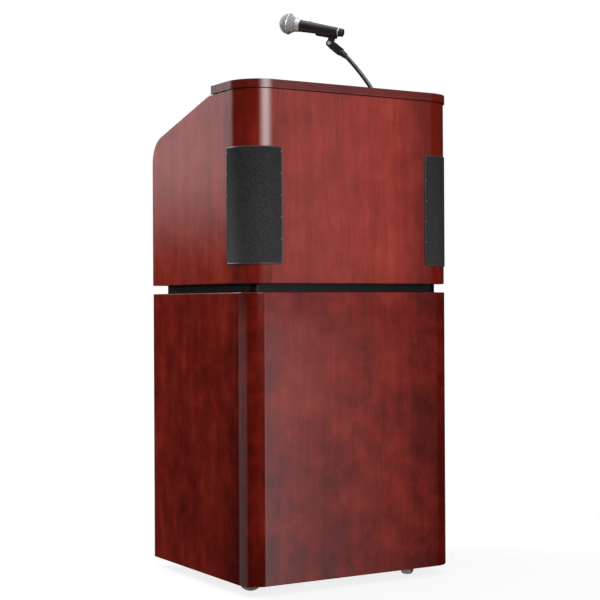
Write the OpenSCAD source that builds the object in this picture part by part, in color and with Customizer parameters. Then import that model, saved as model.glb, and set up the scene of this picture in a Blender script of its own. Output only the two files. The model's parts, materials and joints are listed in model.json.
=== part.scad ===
// Two-piece standing lectern: a wheeled base cabinet carries a lift-off top
// unit with a sloping reading desk, two corner loudspeakers, an amplifier and
// a microphone on a flexible neck. The audience side is -Y, the presenter +Y.

/* [Base cabinet] */
// Width of the base cabinet
base_w = 577; // [560:1:590]
// Depth of the base cabinet
base_d = 497.5; // [490:0.5:510]
// Radius of the two front corners of the base
base_r = 48; // [44:1:60]
// Clearance between the floor and the lower edge of the base
skirt_z = 24; // [18:1:28]
// Height of the base's top face above the floor
base_top_z = 695; // [660:1:720]
// Thickness of the bent walls and flat boards
board = 18; // [16:1:20]
// Height of the shelf's underside above the floor
shelf_z = 380; // [300:1:480]

/* [Top unit] */
// Width of the top unit
top_w = 591; // [580:1:594]
// Depth of the top unit
top_d = 492; // [486:1:496]
// Radius of the two front corners of the top unit
top_r = 75; // [72:1:78]
// Height of the top unit's walls at the front
top_h = 446; // [436:1:456]
// Height of the shadow gap between the two units
riser_h = 20.5; // [14:0.5:28]
// Setback of the riser from the base's front and sides
riser_inset = 25; // [20:1:35]
// Slope of the reading desk in degrees
desk_slope = 15.3; // [14:0.1:16.5]
// Radius that rounds the side walls at the rear
rear_round = 66; // [60:1:72]
// Thickness of the cap board
cap_t = 19.5; // [16:0.5:22]
// Depth of the cap board
cap_d = 166.5; // [160:0.5:170]
// Overhang of the cap beyond the top unit's front and sides
cap_over = 3.5; // [2:0.5:6]
// Distance by which the cap stands forward of the base
cap_lead = 10.5; // [8:0.5:14]

/* [Speakers] */
// Height of each grille
grille_h = 270; // [250:1:280]
// Thickness of the grille shell
grille_t = 3; // [2:0.5:4]
// Diameter of each loudspeaker's mounting ring
driver_d = 102; // [96:1:106]

/* [Casters] */
// Diameter of the caster wheels
wheel_d = 60; // [56:1:62]
// Tread width of the caster wheels
wheel_w = 24; // [20:1:26]
// Distance from swivel axis to wheel axle
trail = 25; // [20:1:26]

/* [Microphone and neck] */
// Diameter of the flexible neck
neck_d = 10.5; // [9.5:0.1:11]
// Radius of the tight bend above the neck's flange
bend_r = 40; // [36:1:50]
// Radius of the neck's long upper curve
sweep_r = 650; // [500:10:900]
// Diameter of the microphone head
head_d = 52.6; // [50:0.2:54]
// Upward tilt of the microphone in degrees
mic_tilt = 12.8; // [5:0.1:20]

/* [Hidden] */
$fn = 64;

// Colours
wood = [0.42, 0.12, 0.09];
inner_wood = [0.36, 0.14, 0.10];
raw_wood = [0.72, 0.55, 0.36];
black = [0.07, 0.07, 0.08];
charcoal = [0.17, 0.17, 0.18];
rubber = [0.42, 0.41, 0.42];
steel = [0.72, 0.72, 0.74];
silver = [0.80, 0.80, 0.82];

// Front-to-rear layout, with the whole depth centred on y = 0
front_y = -(base_d + cap_lead) / 2;
base_y1 = -front_y;
base_y0 = base_y1 - base_d;
top_y0 = front_y + cap_over;
top_y1 = top_y0 + top_d;
cap_y1 = front_y + cap_d;

// Heights
top_z0 = base_top_z + riser_h;
top_z1 = top_z0 + top_h;
cap_z1 = top_z1 + cap_t;
floor_panel_z = 88;

// Inner faces of both shells
base_in = base_w / 2 - board;
base_front_in = base_y0 + board;
top_in = top_w / 2 - board;
top_front_in = top_y0 + board;

// Shelf pins and the rows of holes that they fit
pin_r = 2.5;
pin_ys = [-150, 180];
hole_pitch = 32;

// Side walls' sloping edge
slope_y = cap_y1 + 17.5;
slope_drop = (top_y1 - slope_y) * tan(desk_slope);
edge_tangent = rear_round * tan((90 - desk_slope) / 2);
rear_corner_z = top_z1 - slope_drop;

// Reading desk, laid out along and square to the slope
desk_recess = 15;
desk_t = 15;
desk_start = -8;
desk_end = 280;
stop_t = 14;
stop_rise = 11;
stop_h = 36;

// Dowels that keep the top unit on the riser
dowel_x = 200;
dowel_r = 6;
dowel_rise = 12;
socket_play = 0.3;

// Casters
caster_x = 212;
caster_front_y = -166;
caster_rear_y = 188;
plate_t = 3;
plate_l = 60;
plate_w = 52;
screw_r = 2;
screw_l = 17;
wheel_r = wheel_d / 2;
crown_z = wheel_r + 42;
crown_t = 3.5;
leg_t = 2.5;
leg_gap = wheel_w / 2 + 1.2;
axle_r = 3;
axle_head_r = 5.5;
nut_h = 4;
kingpin_r = 4;
running = 0.05;
pedal_pin = [trail + 11, wheel_r + 36];
pedal_pin_r = 2;
caster_yaws = [149, 220, 100, 62];

// Grilles and loudspeakers
grille_top_z = 1029;
grille_z0 = grille_top_z - grille_h;
grille_side_y = -162;
grille_front_x = 200;
grille_corner = 10;
fixing_pitch = 50;
fixing_drop = 12;
fixing_inset = 4;
fixing_r = 1.2;
fixing_head_r = 2.2;
fixing_head_t = 0.5;
corner_x = top_w / 2 - top_r;
corner_y = top_y0 + top_r;
driver_z = grille_top_z - grille_h / 2;
baffle_out = 15;
baffle_t = 12;
baffle_half = 62;
driver_r = driver_d / 2;
basket_h = 35;
magnet_t = 16;
magnet_r = 30;

// Amplifier bay
amp_shelf_z = 925;
amp_floor_z = amp_shelf_z + board;
face_y = 214;
face_t = 2.5;
face_top_z = 1044;
chassis_w = 400;
chassis_d = 190;
chassis_h = 74;
sheet = 1.5;
knob_z = 990;
knob_r = 11;
knob_l = 15;
knob_shaft_r = 3;
knob_xs = [-160, -110, -60, -10];
jack_xs = [40, 75];
jack_r = 4;
jack_l = 16;
switch_x = 165;
rocker_w = 18;
rocker_half_h = 12;
inlet_x = 215;
inlet_r = 6;
inlet_l = 14;

// Neck: a vertical start, a tight bend and one long shallow curve, all in one
// upright plane that starts at neck_at and heads towards neck_heading
neck_at = [140, -116];
neck_heading = 130;
neck_r = neck_d / 2;
stub_end_r = neck_r + 0.4;
bend_z = cap_z1 + 8;
bend_turn = 34;
bend_end_angle = 90 - bend_turn;
bend_end = [bend_r * (1 - cos(bend_turn)), bend_z + bend_r * sin(bend_turn)];
sweep_c = [
    bend_end[0] + sweep_r * sin(bend_end_angle),
    bend_end[1] - sweep_r * cos(bend_end_angle)
];
joint_high_angle = 51.7;
neck_end_angle = 47.4; // where the clip's stem begins
neck_tip_angle = neck_end_angle - 0.8; // the neck goes on inside the stem
joint_gap = 1.4;
gap_angle = joint_gap / sweep_r * 180 / PI;
bend_gap_angle = joint_gap / bend_r * 180 / PI;
neck_seat = 1.4;
ball_r = 4.6;
ball_play = 0.3;

// Clip and microphone
pivot = [108.7, 1322.7];
tail_end = [74.9, 1347.6];
yoke_angle = 40;
yoke_half = 10;
yoke_back = 34.8;
ear_r = 9;
ear_t = 5;
lug_half = 4;
lug_r = 8;
lug_play = 0.3;
bolt_r = 2.5;
cradle_x = [15, 70];
cradle_wall = 2.8;
cradle_play = 0.3;
ring_x = [11, 14];
ring_r = 11;
body_x = [14, 116];
body_r = [11, 15];
collar_x1 = 129;
collar_r = [15.6, 17.2];
stub_r = 8;
head_r = head_d / 2;
head_x = 146.4;
basket_t = 1.2;
band_w = 2.6;
band_t = 0.6;
switch_slot = [86, 105];
switch_half = 3.5;
switch_floor = 10.4;
switch_l = 12;

// A point of the neck's long curve where its direction has the given angle
function sweep_at(angle) =
    [sweep_c[0] - sweep_r * sin(angle), sweep_c[1] + sweep_r * cos(angle)];

// Radius of the microphone body at a distance along it
function mic_r(x) =
    body_r[0] + (body_r[1] - body_r[0]) * (x - body_x[0]) / (body_x[1] - body_x[0]);

// ---------- shared shapes ----------

// Plan outline with two round front corners and two square rear corners
module front_round(w, y0, y1, r) {
    translate([-w / 2, y0 + r]) square([w, y1 - y0 - r]);
    translate([-w / 2 + r, y0]) square([w - 2 * r, y1 - y0]);
    for (side = [-1, 1])
        translate([side * (w / 2 - r), y0 + r]) circle(r, $fn = 96);
}

// Bent wall, open at the rear
module bent_wall(w, y0, y1, r) {
    difference() {
        front_round(w, y0, y1, r);
        front_round(w - 2 * board, y0 + board, y1 + board, r - board);
    }
}

// Extrudes a (y, z) outline along X, centred on x = 0
module along_x(w) {
    translate([-w / 2, 0, 0]) rotate([90, 0, 90]) linear_extrude(w) children();
}

// Cylinder along X, centred
module rod_x(l, r) {
    rotate([0, 90, 0]) cylinder(h = l, r = r, center = true);
}

// Cylinder along Y that starts at y = 0
module rod_y(l, r) {
    rotate([-90, 0, 0]) cylinder(h = l, r = r);
}

// Places children in the desk's frame: X across, Y down the slope, Z square to it
module on_slope() {
    translate([0, slope_y, top_z1]) rotate([-desk_slope, 0, 0]) children();
}

// ---------- base cabinet ----------

module shelf_holes(from, to) {
    for (side = [-1, 1], y = pin_ys, step = [-2 : 2])
        translate([side * (from + to) / 2, y, shelf_z - pin_r + step * hole_pitch])
            rod_x(to - from, pin_r);
}

module base_shell() {
    color(wood) difference() {
        translate([0, 0, skirt_z]) linear_extrude(base_top_z - skirt_z)
            bent_wall(base_w, base_y0, base_y1, base_r);
        shelf_holes(base_in - 1, base_in + 10);
    }
}

// Flat board that fills the base's plan between its walls
module base_board(z) {
    translate([0, 0, z]) linear_extrude(board)
        front_round(2 * base_in, base_front_in, base_y1, base_r - board);
}

module base_top_panel() {
    color(inner_wood) difference() {
        base_board(base_top_z - board);
        dowels(base_top_z - dowel_rise, base_top_z + 1, dowel_r);
    }
}

module base_bottom_panel() {
    color(inner_wood) difference() {
        base_board(floor_panel_z);
        at_casters() plate_screw_spots()
            cylinder(h = 2 * (screw_l - plate_t), r = screw_r, center = true);
    }
}

module base_shelf() {
    color(inner_wood) translate([0, 0, shelf_z]) linear_extrude(board)
        front_round(2 * base_in - 2, base_front_in + 1, base_y1 - 20, base_r - board);
}

module shelf_pins() {
    color(steel)
        for (side = [-1, 1], y = pin_ys)
            translate([side * (base_in + 1), y, shelf_z - pin_r]) rod_x(18, pin_r);
}

module base_cleats() {
    color(raw_wood)
        for (side = [-1, 1], z = [floor_panel_z + board, base_top_z - 2 * board])
            translate([side * (base_in - board / 2) - board / 2, -180, z])
                cube([board, 400, board]);
}

module riser_plinth() {
    color(black) difference() {
        translate([0, 0, base_top_z]) linear_extrude(riser_h)
            front_round(base_w - 2 * riser_inset, base_y0 + riser_inset, base_y1 - 33,
                        base_r - riser_inset);
        dowels(base_top_z - 1, top_z0 + 1, dowel_r);
    }
}

module dowels(z0, z1, r) {
    for (side = [-1, 1])
        translate([side * dowel_x, 0, z0]) cylinder(h = z1 - z0, r = r);
}

module locating_dowels() {
    color(steel) dowels(base_top_z - dowel_rise, top_z0 + dowel_rise, dowel_r);
}

// ---------- casters ----------

// Repeats children at the four swivel axes, at the underside of the floor panel
module at_casters() {
    for (i = [0 : 3])
        at_caster(i) translate([0, 0, floor_panel_z]) children();
}

// Puts children at caster i: 0 front left, 1 front right, 2 rear left, 3 rear right
module at_caster(i) {
    x = i % 2 == 0 ? -caster_x : caster_x;
    y = i < 2 ? caster_front_y : caster_rear_y;
    translate([x, y, 0]) children();
}

module plate_screw_spots() {
    for (sx = [-1, 1], sy = [-1, 1])
        translate([sx * (plate_l / 2 - 8), sy * (plate_w / 2 - 8), 0]) children();
}

module caster_plates() {
    race_h = floor_panel_z - plate_t - crown_z - crown_t - 0.5;
    rivet_r = 7;
    rivet_t = 3;
    color(steel) at_casters() {
        difference() {
            translate([-plate_l / 2, -plate_w / 2, -plate_t]) cube([plate_l, plate_w, plate_t]);
            plate_screw_spots() cylinder(h = 3 * plate_t, r = screw_r, center = true);
        }
        translate([0, 0, -plate_t - race_h]) cylinder(h = race_h, r1 = 17, r2 = 19);
        translate([0, 0, -plate_t - race_h - 5]) cylinder(h = 6, r = kingpin_r);
        translate([0, 0, crown_z - rivet_t - 0.3 - floor_panel_z]) cylinder(h = rivet_t, r = rivet_r);
    }
}

module caster_screws() {
    color(silver) at_casters() plate_screw_spots() {
        translate([0, 0, -plate_t]) cylinder(h = screw_l, r = screw_r);
        translate([0, 0, -plate_t - 2]) cylinder(h = 2, r1 = 3, r2 = 4);
    }
}

// Outline of one fork leg, with the trail along X and height along Y
module leg_outline(braked) {
    polygon([[-12, crown_z + 1], [18, crown_z + 1], [trail + 8.5, wheel_r + 2],
             [trail - 6, wheel_r - 6]]);
    translate([trail, wheel_r]) circle(9);
    if (braked) {
        polygon([[10, crown_z + 1], [24, crown_z + 1], [pedal_pin[0] + 4, pedal_pin[1] - 4],
                 [trail + 4, wheel_r + 10]]);
        translate(pedal_pin) circle(5.5);
    }
}

module caster_fork(i) {
    braked = i > 1;
    color(steel) at_caster(i) rotate([0, 0, caster_yaws[i]]) difference() {
        union() {
            translate([0, 0, crown_z]) cylinder(h = crown_t, r = 19);
            translate([-12, -leg_gap - leg_t, crown_z])
                cube([30, 2 * (leg_gap + leg_t), crown_t]);
            for (side = [0, 1]) mirror([0, side, 0])
                translate([0, leg_gap + leg_t, 0]) rotate([90, 0, 0])
                    linear_extrude(leg_t) leg_outline(braked);
        }
        cylinder(h = 100, r = kingpin_r + running);
        translate([trail, 0, wheel_r]) rotate([90, 0, 0])
            cylinder(h = 60, r = axle_r, center = true);
        if (braked)
            translate([pedal_pin[0], 0, pedal_pin[1]]) rotate([90, 0, 0])
                cylinder(h = 60, r = pedal_pin_r + running, center = true);
    }
}

module caster_axle(i) {
    half = leg_gap + leg_t;
    color(silver) at_caster(i) rotate([0, 0, caster_yaws[i]])
        translate([trail, 0, wheel_r]) rotate([90, 0, 0]) {
            cylinder(h = 2 * half, r = axle_r, center = true);
            translate([0, 0, half]) cylinder(h = 3, r = axle_head_r);
            translate([0, 0, -half - nut_h]) cylinder(h = nut_h, r = axle_head_r, $fn = 6);
        }
}

module caster_wheel(i) {
    hub_r = wheel_r - 9;
    color(rubber) at_caster(i) rotate([0, 0, caster_yaws[i]])
        translate([trail, 0, wheel_r]) rotate([90, 0, 0]) difference() {
            union() {
                intersection() {
                    cylinder(h = wheel_w, r = wheel_r, center = true, $fn = 96);
                    rotate_extrude($fn = 96) translate([wheel_r - 40, 0]) intersection() {
                        circle(40, $fn = 128);
                        translate([-wheel_r + 40, -wheel_w]) square([80, 2 * wheel_w]);
                    }
                }
                cylinder(h = 2 * leg_gap - 0.6, r = 8, center = true);
            }
            for (side = [-1, 1])
                translate([0, 0, side * wheel_w / 2]) rotate_extrude()
                    translate([11, -2]) square([hub_r - 11, 4]);
            cylinder(h = 60, r = axle_r + running, center = true);
        }
}

module brake_pedal(i) {
    half = leg_gap - 0.6;
    color(black) at_caster(i) rotate([0, 0, caster_yaws[i]]) {
        translate([pedal_pin[0], 0, pedal_pin[1]]) rotate([90, 0, 0]) {
            cylinder(h = 2 * (leg_gap + leg_t) + 2, r = pedal_pin_r, center = true);
            cylinder(h = 2 * half, r = 4, center = true);
        }
        translate([pedal_pin[0], -9, pedal_pin[1] - 2]) cube([20, 18, 3.5]);
        translate([pedal_pin[0] + 8, -6, pedal_pin[1] - 9]) cube([3, 12, 8]);
    }
}

// ---------- top unit ----------

// Side view of the top unit: level top, slope, rounded rear corner
module side_profile() {
    arc_c = [top_y1 - rear_round, rear_corner_z - edge_tangent];
    out_r = rear_round + 2;
    difference() {
        polygon([[top_y0 - 1, top_z0 - 1], [top_y0 - 1, top_z1], [slope_y, top_z1],
                 [top_y1, rear_corner_z], [top_y1, top_z0 - 1]]);
        difference() {
            polygon([arc_c, arc_c + out_r * [sin(desk_slope), cos(desk_slope)],
                     [top_y1 + 2, rear_corner_z + 2], arc_c + [out_r, 0]]);
            translate(arc_c) circle(rear_round, $fn = 180);
        }
    }
}

module upper_shell() {
    color(wood) difference() {
        intersection() {
            translate([0, 0, top_z0]) linear_extrude(top_h)
                bent_wall(top_w, top_y0, top_y1, top_r);
            along_x(top_w + 2) side_profile();
        }
        at_corners() translate([20, -50, grille_z0 + 25]) cube([80, 100, grille_h - 50]);
        grille_fixings(8, fixing_r);
    }
}

module top_cap() {
    color(wood) difference() {
        translate([0, 0, top_z1]) linear_extrude(cap_t)
            front_round(top_w + 2 * cap_over, front_y, cap_y1, top_r + cap_over);
        translate([neck_at[0], neck_at[1], top_z1]) cylinder(h = 100, r = 5, center = true);
    }
}

module reading_desk() {
    color(wood) on_slope()
        translate([-top_in, desk_start, -desk_recess - desk_t])
            cube([2 * top_in, desk_end - desk_start, desk_t]);
}

module book_stop() {
    color(wood) on_slope()
        translate([-top_in, desk_end, stop_rise - desk_recess - stop_h])
            cube([2 * top_in, stop_t, stop_h]);
}

module upper_bottom_panel() {
    color(inner_wood) difference() {
        translate([0, 0, top_z0]) linear_extrude(board)
            front_round(2 * top_in, top_front_in, top_y1, top_r - board);
        dowels(top_z0 - 1, top_z0 + dowel_rise + 1, dowel_r + socket_play);
    }
}

module amp_shelf() {
    color(inner_wood) translate([-top_in, -100, amp_shelf_z])
        cube([2 * top_in, face_y + 108, board]);
}

module upper_cleats() {
    rail_h = 42;
    color(raw_wood) {
        for (side = [-1, 1], z = [top_z0 + board, amp_shelf_z - board])
            translate([side * (top_in - board / 2) - board / 2, -95, z])
                cube([board, 310, board]);
        translate([-top_in, slope_y - 36, top_z1 - rail_h]) cube([2 * top_in, board, rail_h]);
    }
}

// ---------- loudspeakers and grilles ----------

// Repeats children at both front corners, with X pointing out along the diagonal
module at_corners() {
    for (side = [-1, 1])
        translate([side * corner_x, corner_y, 0]) rotate([0, 0, side < 0 ? 225 : 315]) children();
}

// Repeats children at both loudspeakers, with Z pointing out along their axes
module at_drivers() {
    at_corners() translate([0, 0, driver_z]) rotate([0, 90, 0]) children();
}

module speaker_baffles() {
    color(raw_wood) difference() {
        at_corners() translate([baffle_out - baffle_t, -baffle_half, top_z0 + board])
            cube([baffle_t, 2 * baffle_half, grille_top_z - 15 - top_z0 - board]);
        at_drivers() cylinder(h = 100, r = driver_r - 4.5, center = true);
    }
}

module speaker_baskets() {
    color(black) at_drivers() translate([0, 0, baffle_out]) rotate_extrude()
        polygon([[driver_r - 7, 0], [driver_r, 0], [driver_r, 3], [driver_r - 9, 3],
                 [driver_r - 9, -3], [24, 3 - basket_h], [12, 3 - basket_h],
                 [12, -basket_h], [26, -basket_h], [driver_r - 7, -5]]);
}

module speaker_cones() {
    color(charcoal) at_drivers() translate([0, 0, baffle_out]) {
        rotate_extrude() polygon([[14, -18], [15.5, -18], [driver_r - 15, 1.2],
                                  [driver_r - 9, 1.2], [driver_r - 9, 2.4],
                                  [driver_r - 16, 2.4]]);
        translate([0, 0, -18]) cylinder(h = 6, r1 = 14, r2 = 9);
    }
}

module speaker_magnets() {
    color(steel) at_drivers() translate([0, 0, baffle_out - basket_h - magnet_t])
        cylinder(h = magnet_t, r = magnet_r);
}

// Plan of one grille: the corner arc with a short flat at each end
module grille_plan() {
    difference() {
        union() {
            circle(top_r + grille_t, $fn = 128);
            translate([-top_r - grille_t, 0])
                square([top_r, grille_side_y - corner_y]);
            translate([0, -top_r - grille_t]) square([corner_x - grille_front_x, top_r]);
        }
        circle(top_r, $fn = 128);
        translate([-top_r, 0]) square([2 * top_r + 10, 100]);
        translate([0, -top_r]) square([100, 2 * top_r]);
        translate([-200, grille_side_y - corner_y]) square([400, 200]);
        translate([corner_x - grille_front_x, -200]) square([400, 400]);
    }
}

// Cuts the waste outside a quarter circle at the corner of a flat edge
module corner_waste(l) {
    difference() {
        cube([grille_corner + 1, l, grille_corner + 1]);
        translate([0, -1, 0]) rotate([-90, 0, 0]) cylinder(h = l + 2, r = grille_corner);
    }
}

// Left-hand grille; the right-hand one is its mirror image
module grille_shell() {
    inset = grille_corner;
    difference() {
        translate([-corner_x, corner_y, grille_z0]) linear_extrude(grille_h) grille_plan();
        for (flip = [0, 1]) translate([0, 0, grille_z0 + grille_h / 2]) mirror([0, 0, flip]) {
            translate([-grille_front_x - inset, top_y0 - 10, grille_h / 2 - inset])
                corner_waste(20);
            translate([-top_w / 2 - 10, grille_side_y - inset, grille_h / 2 - inset])
                mirror([1, -1, 0]) corner_waste(20);
        }
    }
}

module grille_left() {
    color(charcoal) difference() {
        grille_shell();
        grille_fixings(8, fixing_r);
    }
}

module grille_right() {
    color(charcoal) difference() {
        mirror([1, 0, 0]) grille_shell();
        grille_fixings(8, fixing_r);
    }
}

// Pins through the grilles' upright edges, sunk by the given depth in the wall
module grille_fixings(depth, r) {
    for (flip = [0, 1], i = [0 : 4]) mirror([flip, 0, 0])
        translate([0, 0, grille_top_z - fixing_drop - i * fixing_pitch]) {
            translate([-top_w / 2 - grille_t, grille_side_y - fixing_inset, 0])
                rotate([0, 90, 0]) cylinder(h = depth + grille_t, r = r);
            translate([-grille_front_x - fixing_inset, top_y0 - grille_t, 0])
                rotate([-90, 0, 0]) cylinder(h = depth + grille_t, r = r);
        }
}

module grille_screws() {
    color(black) {
        grille_fixings(8, fixing_r);
        for (flip = [0, 1], i = [0 : 4]) mirror([flip, 0, 0])
            translate([0, 0, grille_top_z - fixing_drop - i * fixing_pitch]) {
                translate([-top_w / 2 - grille_t, grille_side_y - fixing_inset, 0])
                    rotate([0, -90, 0]) cylinder(h = fixing_head_t, r = fixing_head_r);
                translate([-grille_front_x - fixing_inset, top_y0 - grille_t, 0])
                    rotate([90, 0, 0]) cylinder(h = fixing_head_t, r = fixing_head_r);
            }
    }
}

// ---------- amplifier ----------

module amp_chassis() {
    color(steel) translate([-chassis_w / 2, face_y - chassis_d, amp_floor_z]) difference() {
        cube([chassis_w, chassis_d, chassis_h]);
        translate([sheet, sheet, sheet])
            cube([chassis_w - 2 * sheet, chassis_d, chassis_h - 2 * sheet]);
    }
}

module amp_board() {
    board_z = amp_floor_z + sheet;
    back_y = face_y - chassis_d;
    color([0.10, 0.35, 0.18]) {
        translate([-170, back_y + 20, board_z + 6]) cube([340, 110, 1.6]);
        for (x = [-160, 160], y = [30, 120])
            translate([x, back_y + y, board_z]) cylinder(h = 6, r = 3);
        translate([-40, back_y + 24, board_z + 7.6]) cube([80, 6, 34]);
        for (i = [0 : 6])
            translate([-36 + 12 * i, back_y + 30, board_z + 7.6]) cube([2, 18, 34]);
        for (x = [60, 90])
            translate([x, back_y + 50, board_z + 7.6]) cylinder(h = 30, r = 11);
        translate([115, back_y + 30, board_z + 7.6]) cube([48, 42, 40]);
    }
}

module amp_faceplate() {
    color(black) difference() {
        translate([-top_in + 0.5, face_y, amp_floor_z])
            cube([2 * top_in - 1, face_t, face_top_z - amp_floor_z]);
        for (x = knob_xs)
            translate([x, face_y - 1, knob_z]) rod_y(face_t + 2, knob_shaft_r + running);
        for (x = jack_xs) translate([x, face_y - 1, knob_z]) rod_y(face_t + 2, jack_r);
        translate([inlet_x, face_y - 1, knob_z]) rod_y(face_t + 2, inlet_r);
        translate([switch_x - rocker_w / 2 - 1, face_y - 1, knob_z - rocker_half_h - 2])
            cube([rocker_w + 2, face_t + 2, 2 * rocker_half_h + 4]);
    }
}

module knob(x) {
    seat_y = face_y + face_t + 0.4;
    skirt_l = 3;
    rib_r = 1;
    color(black) translate([x, 0, knob_z]) difference() {
        union() {
            translate([0, seat_y, 0]) rod_y(skirt_l, knob_r);
            translate([0, seat_y + skirt_l, 0]) rotate([-90, 0, 0])
                cylinder(h = knob_l - skirt_l, r1 = knob_r - 1.5, r2 = knob_r - 2.5);
            translate([0, face_y - 10, 0]) rod_y(face_t + 11, knob_shaft_r);
        }
        translate([-0.6, seat_y + knob_l - 1, 2]) cube([1.2, 2, knob_r]);
        for (turn = [0 : 20 : 340])
            translate([0, seat_y + skirt_l + 0.5, 0]) rotate([0, turn, 0])
                translate([knob_r - 0.9, 0, 0]) rod_y(knob_l, rib_r);
    }
}

// Rocker that turns about an axis along X, just behind the faceplate
module power_switch() {
    color(black) translate([switch_x, face_y - 1, knob_z]) {
        along_x(rocker_w) polygon([[-4, -6], [-4, 6], [2, rocker_half_h], [6.5, rocker_half_h],
                                   [4.5, 0], [6.5, -rocker_half_h], [2, -rocker_half_h]]);
        rod_x(rocker_w + 1, 2);
    }
}

module input_jacks() {
    color(steel) for (x = jack_xs) translate([x, face_y, knob_z]) difference() {
        union() {
            translate([0, -jack_l, 0]) rod_y(jack_l + face_t + 1, jack_r);
            translate([0, face_t, 0]) rotate([-90, 0, 0]) cylinder(h = 2, r = 6, $fn = 6);
            translate([-6, -jack_l, -6]) cube([12, jack_l, 12]);
        }
        translate([0, -12, 0]) rod_y(30, 1.8);
    }
}

module power_inlet() {
    color(black) translate([inlet_x, face_y, knob_z]) {
        difference() {
            union() {
                translate([0, -inlet_l, 0]) rod_y(inlet_l + face_t + 2.5, inlet_r);
                translate([0, face_t, 0]) rod_y(1.5, inlet_r + 2);
                translate([-8, -inlet_l, -8]) cube([16, inlet_l, 16]);
            }
            translate([0, -10, 0]) rod_y(30, inlet_r / 2);
        }
        translate([0, -11, 0]) rod_y(11, 1.05);
    }
}

// ---------- flexible neck ----------

// Frame of the neck's upright plane: X along its heading, Z up
module in_neck_plane() {
    translate([neck_at[0], neck_at[1], 0]) rotate([0, 0, neck_heading]) children();
}

// Round bar along an arc in the neck's plane between two polar angles
module arc_bar(centre, radius, from, to, bar_r = neck_r) {
    translate([centre[0], 0, centre[1]]) rotate([90, 0, 0]) rotate([0, 0, from])
        rotate_extrude(angle = to - from, $fn = 720)
            translate([radius, 0]) circle(bar_r, $fn = 48);
}

// Part of the neck's long curve between two directions of travel
module sweep_bar(from, to, bar_r = neck_r) {
    arc_bar(sweep_c, sweep_r, 90 + to, 90 + from, bar_r);
}

module ball_at(angle, r) {
    p = sweep_at(angle);
    translate([p[0], 0, p[1]]) sphere(r, $fn = 48);
}

module neck_flange() {
    color(black) translate([neck_at[0], neck_at[1], 0]) difference() {
        union() {
            translate([0, 0, cap_z1]) cylinder(h = 4, r = 22);
            translate([0, 0, cap_z1 + 4]) cylinder(h = 3.5, r1 = 12, r2 = 8.5);
            translate([0, 0, top_z1 - 10]) cylinder(h = cap_t + 11, r = 5);
            translate([0, 0, top_z1 - 7]) cylinder(h = 7, r = 10, $fn = 6);
        }
        translate([0, 0, cap_z1 + 1]) cylinder(h = 30, r = stub_end_r + running);
    }
}

module neck_lower() {
    color(black) in_neck_plane() difference() {
        union() {
            translate([0, 0, cap_z1 + neck_seat])
                cylinder(h = bend_z + 0.6 - cap_z1 - neck_seat, r = stub_end_r);
            arc_bar([bend_r, bend_z], bend_r, 180 - bend_turn + bend_gap_angle, 180);
        }
        ball_at(bend_end_angle, ball_r + ball_play);
    }
}

module neck_middle() {
    color(black) in_neck_plane() difference() {
        union() {
            ball_at(bend_end_angle, ball_r);
            sweep_bar(bend_end_angle - gap_angle, joint_high_angle + gap_angle);
        }
        ball_at(joint_high_angle, ball_r + ball_play);
    }
}

module neck_upper() {
    color(black) in_neck_plane() {
        ball_at(joint_high_angle, ball_r);
        sweep_bar(joint_high_angle - gap_angle, neck_tip_angle);
    }
}

// ---------- microphone clip ----------

// Frame at the clip's pivot: X from the neck towards the microphone
module at_yoke() {
    in_neck_plane() translate([pivot[0], 0, pivot[1]]) rotate([0, -yoke_angle, 0]) children();
}

module clip_yoke() {
    half_w = lug_half + lug_play + ear_t;
    neck_tip = sweep_at(neck_end_angle);
    stem_l = norm([neck_tip[0] - pivot[0], neck_tip[1] - pivot[1]]) - yoke_back;
    color(black) difference() {
        at_yoke() difference() {
            union() {
                translate([-yoke_back, -half_w, -yoke_half])
                    cube([yoke_back - ear_r + 3, 2 * half_w, 2 * yoke_half]);
                translate([-ear_r, -half_w, -ear_r]) cube([ear_r, 2 * half_w, 2 * ear_r]);
                rotate([90, 0, 0]) cylinder(h = 2 * half_w, r = ear_r, center = true);
                translate([-yoke_back - stem_l + 1, 0, 0]) rotate([0, 90, 0])
                    cylinder(h = stem_l, r1 = 6.8, r2 = 8.6);
            }
            translate([-ear_r - 4, -lug_half - lug_play, -20])
                cube([40, 2 * (lug_half + lug_play), 40]);
            rotate([90, 0, 0]) cylinder(h = 60, r = bolt_r, center = true);
        }
        in_neck_plane() sweep_bar(joint_high_angle - 1, neck_tip_angle, neck_r + 0.05);
    }
}

module clip_bolt() {
    half_w = lug_half + lug_play + ear_t;
    color(silver) at_yoke() rotate([90, 0, 0]) {
        cylinder(h = 2 * half_w, r = bolt_r, center = true);
        translate([0, 0, half_w]) cylinder(h = 2, r1 = 2 * bolt_r, r2 = 4.2);
        translate([0, 0, -half_w - nut_h]) cylinder(h = nut_h, r = 2 * bolt_r, $fn = 6);
    }
}

// Frame of the microphone: X from its tail to its head, origin at the tail's end
module on_mic() {
    in_neck_plane() translate([tail_end[0], 0, tail_end[1]]) rotate([0, -mic_tilt, 0]) children();
}

// Round bar along the microphone's axis
module mic_bar(x0, x1, r0, r1) {
    translate([x0, 0, 0]) rotate([0, 90, 0]) cylinder(h = x1 - x0, r1 = r0, r2 = r1);
}

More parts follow.
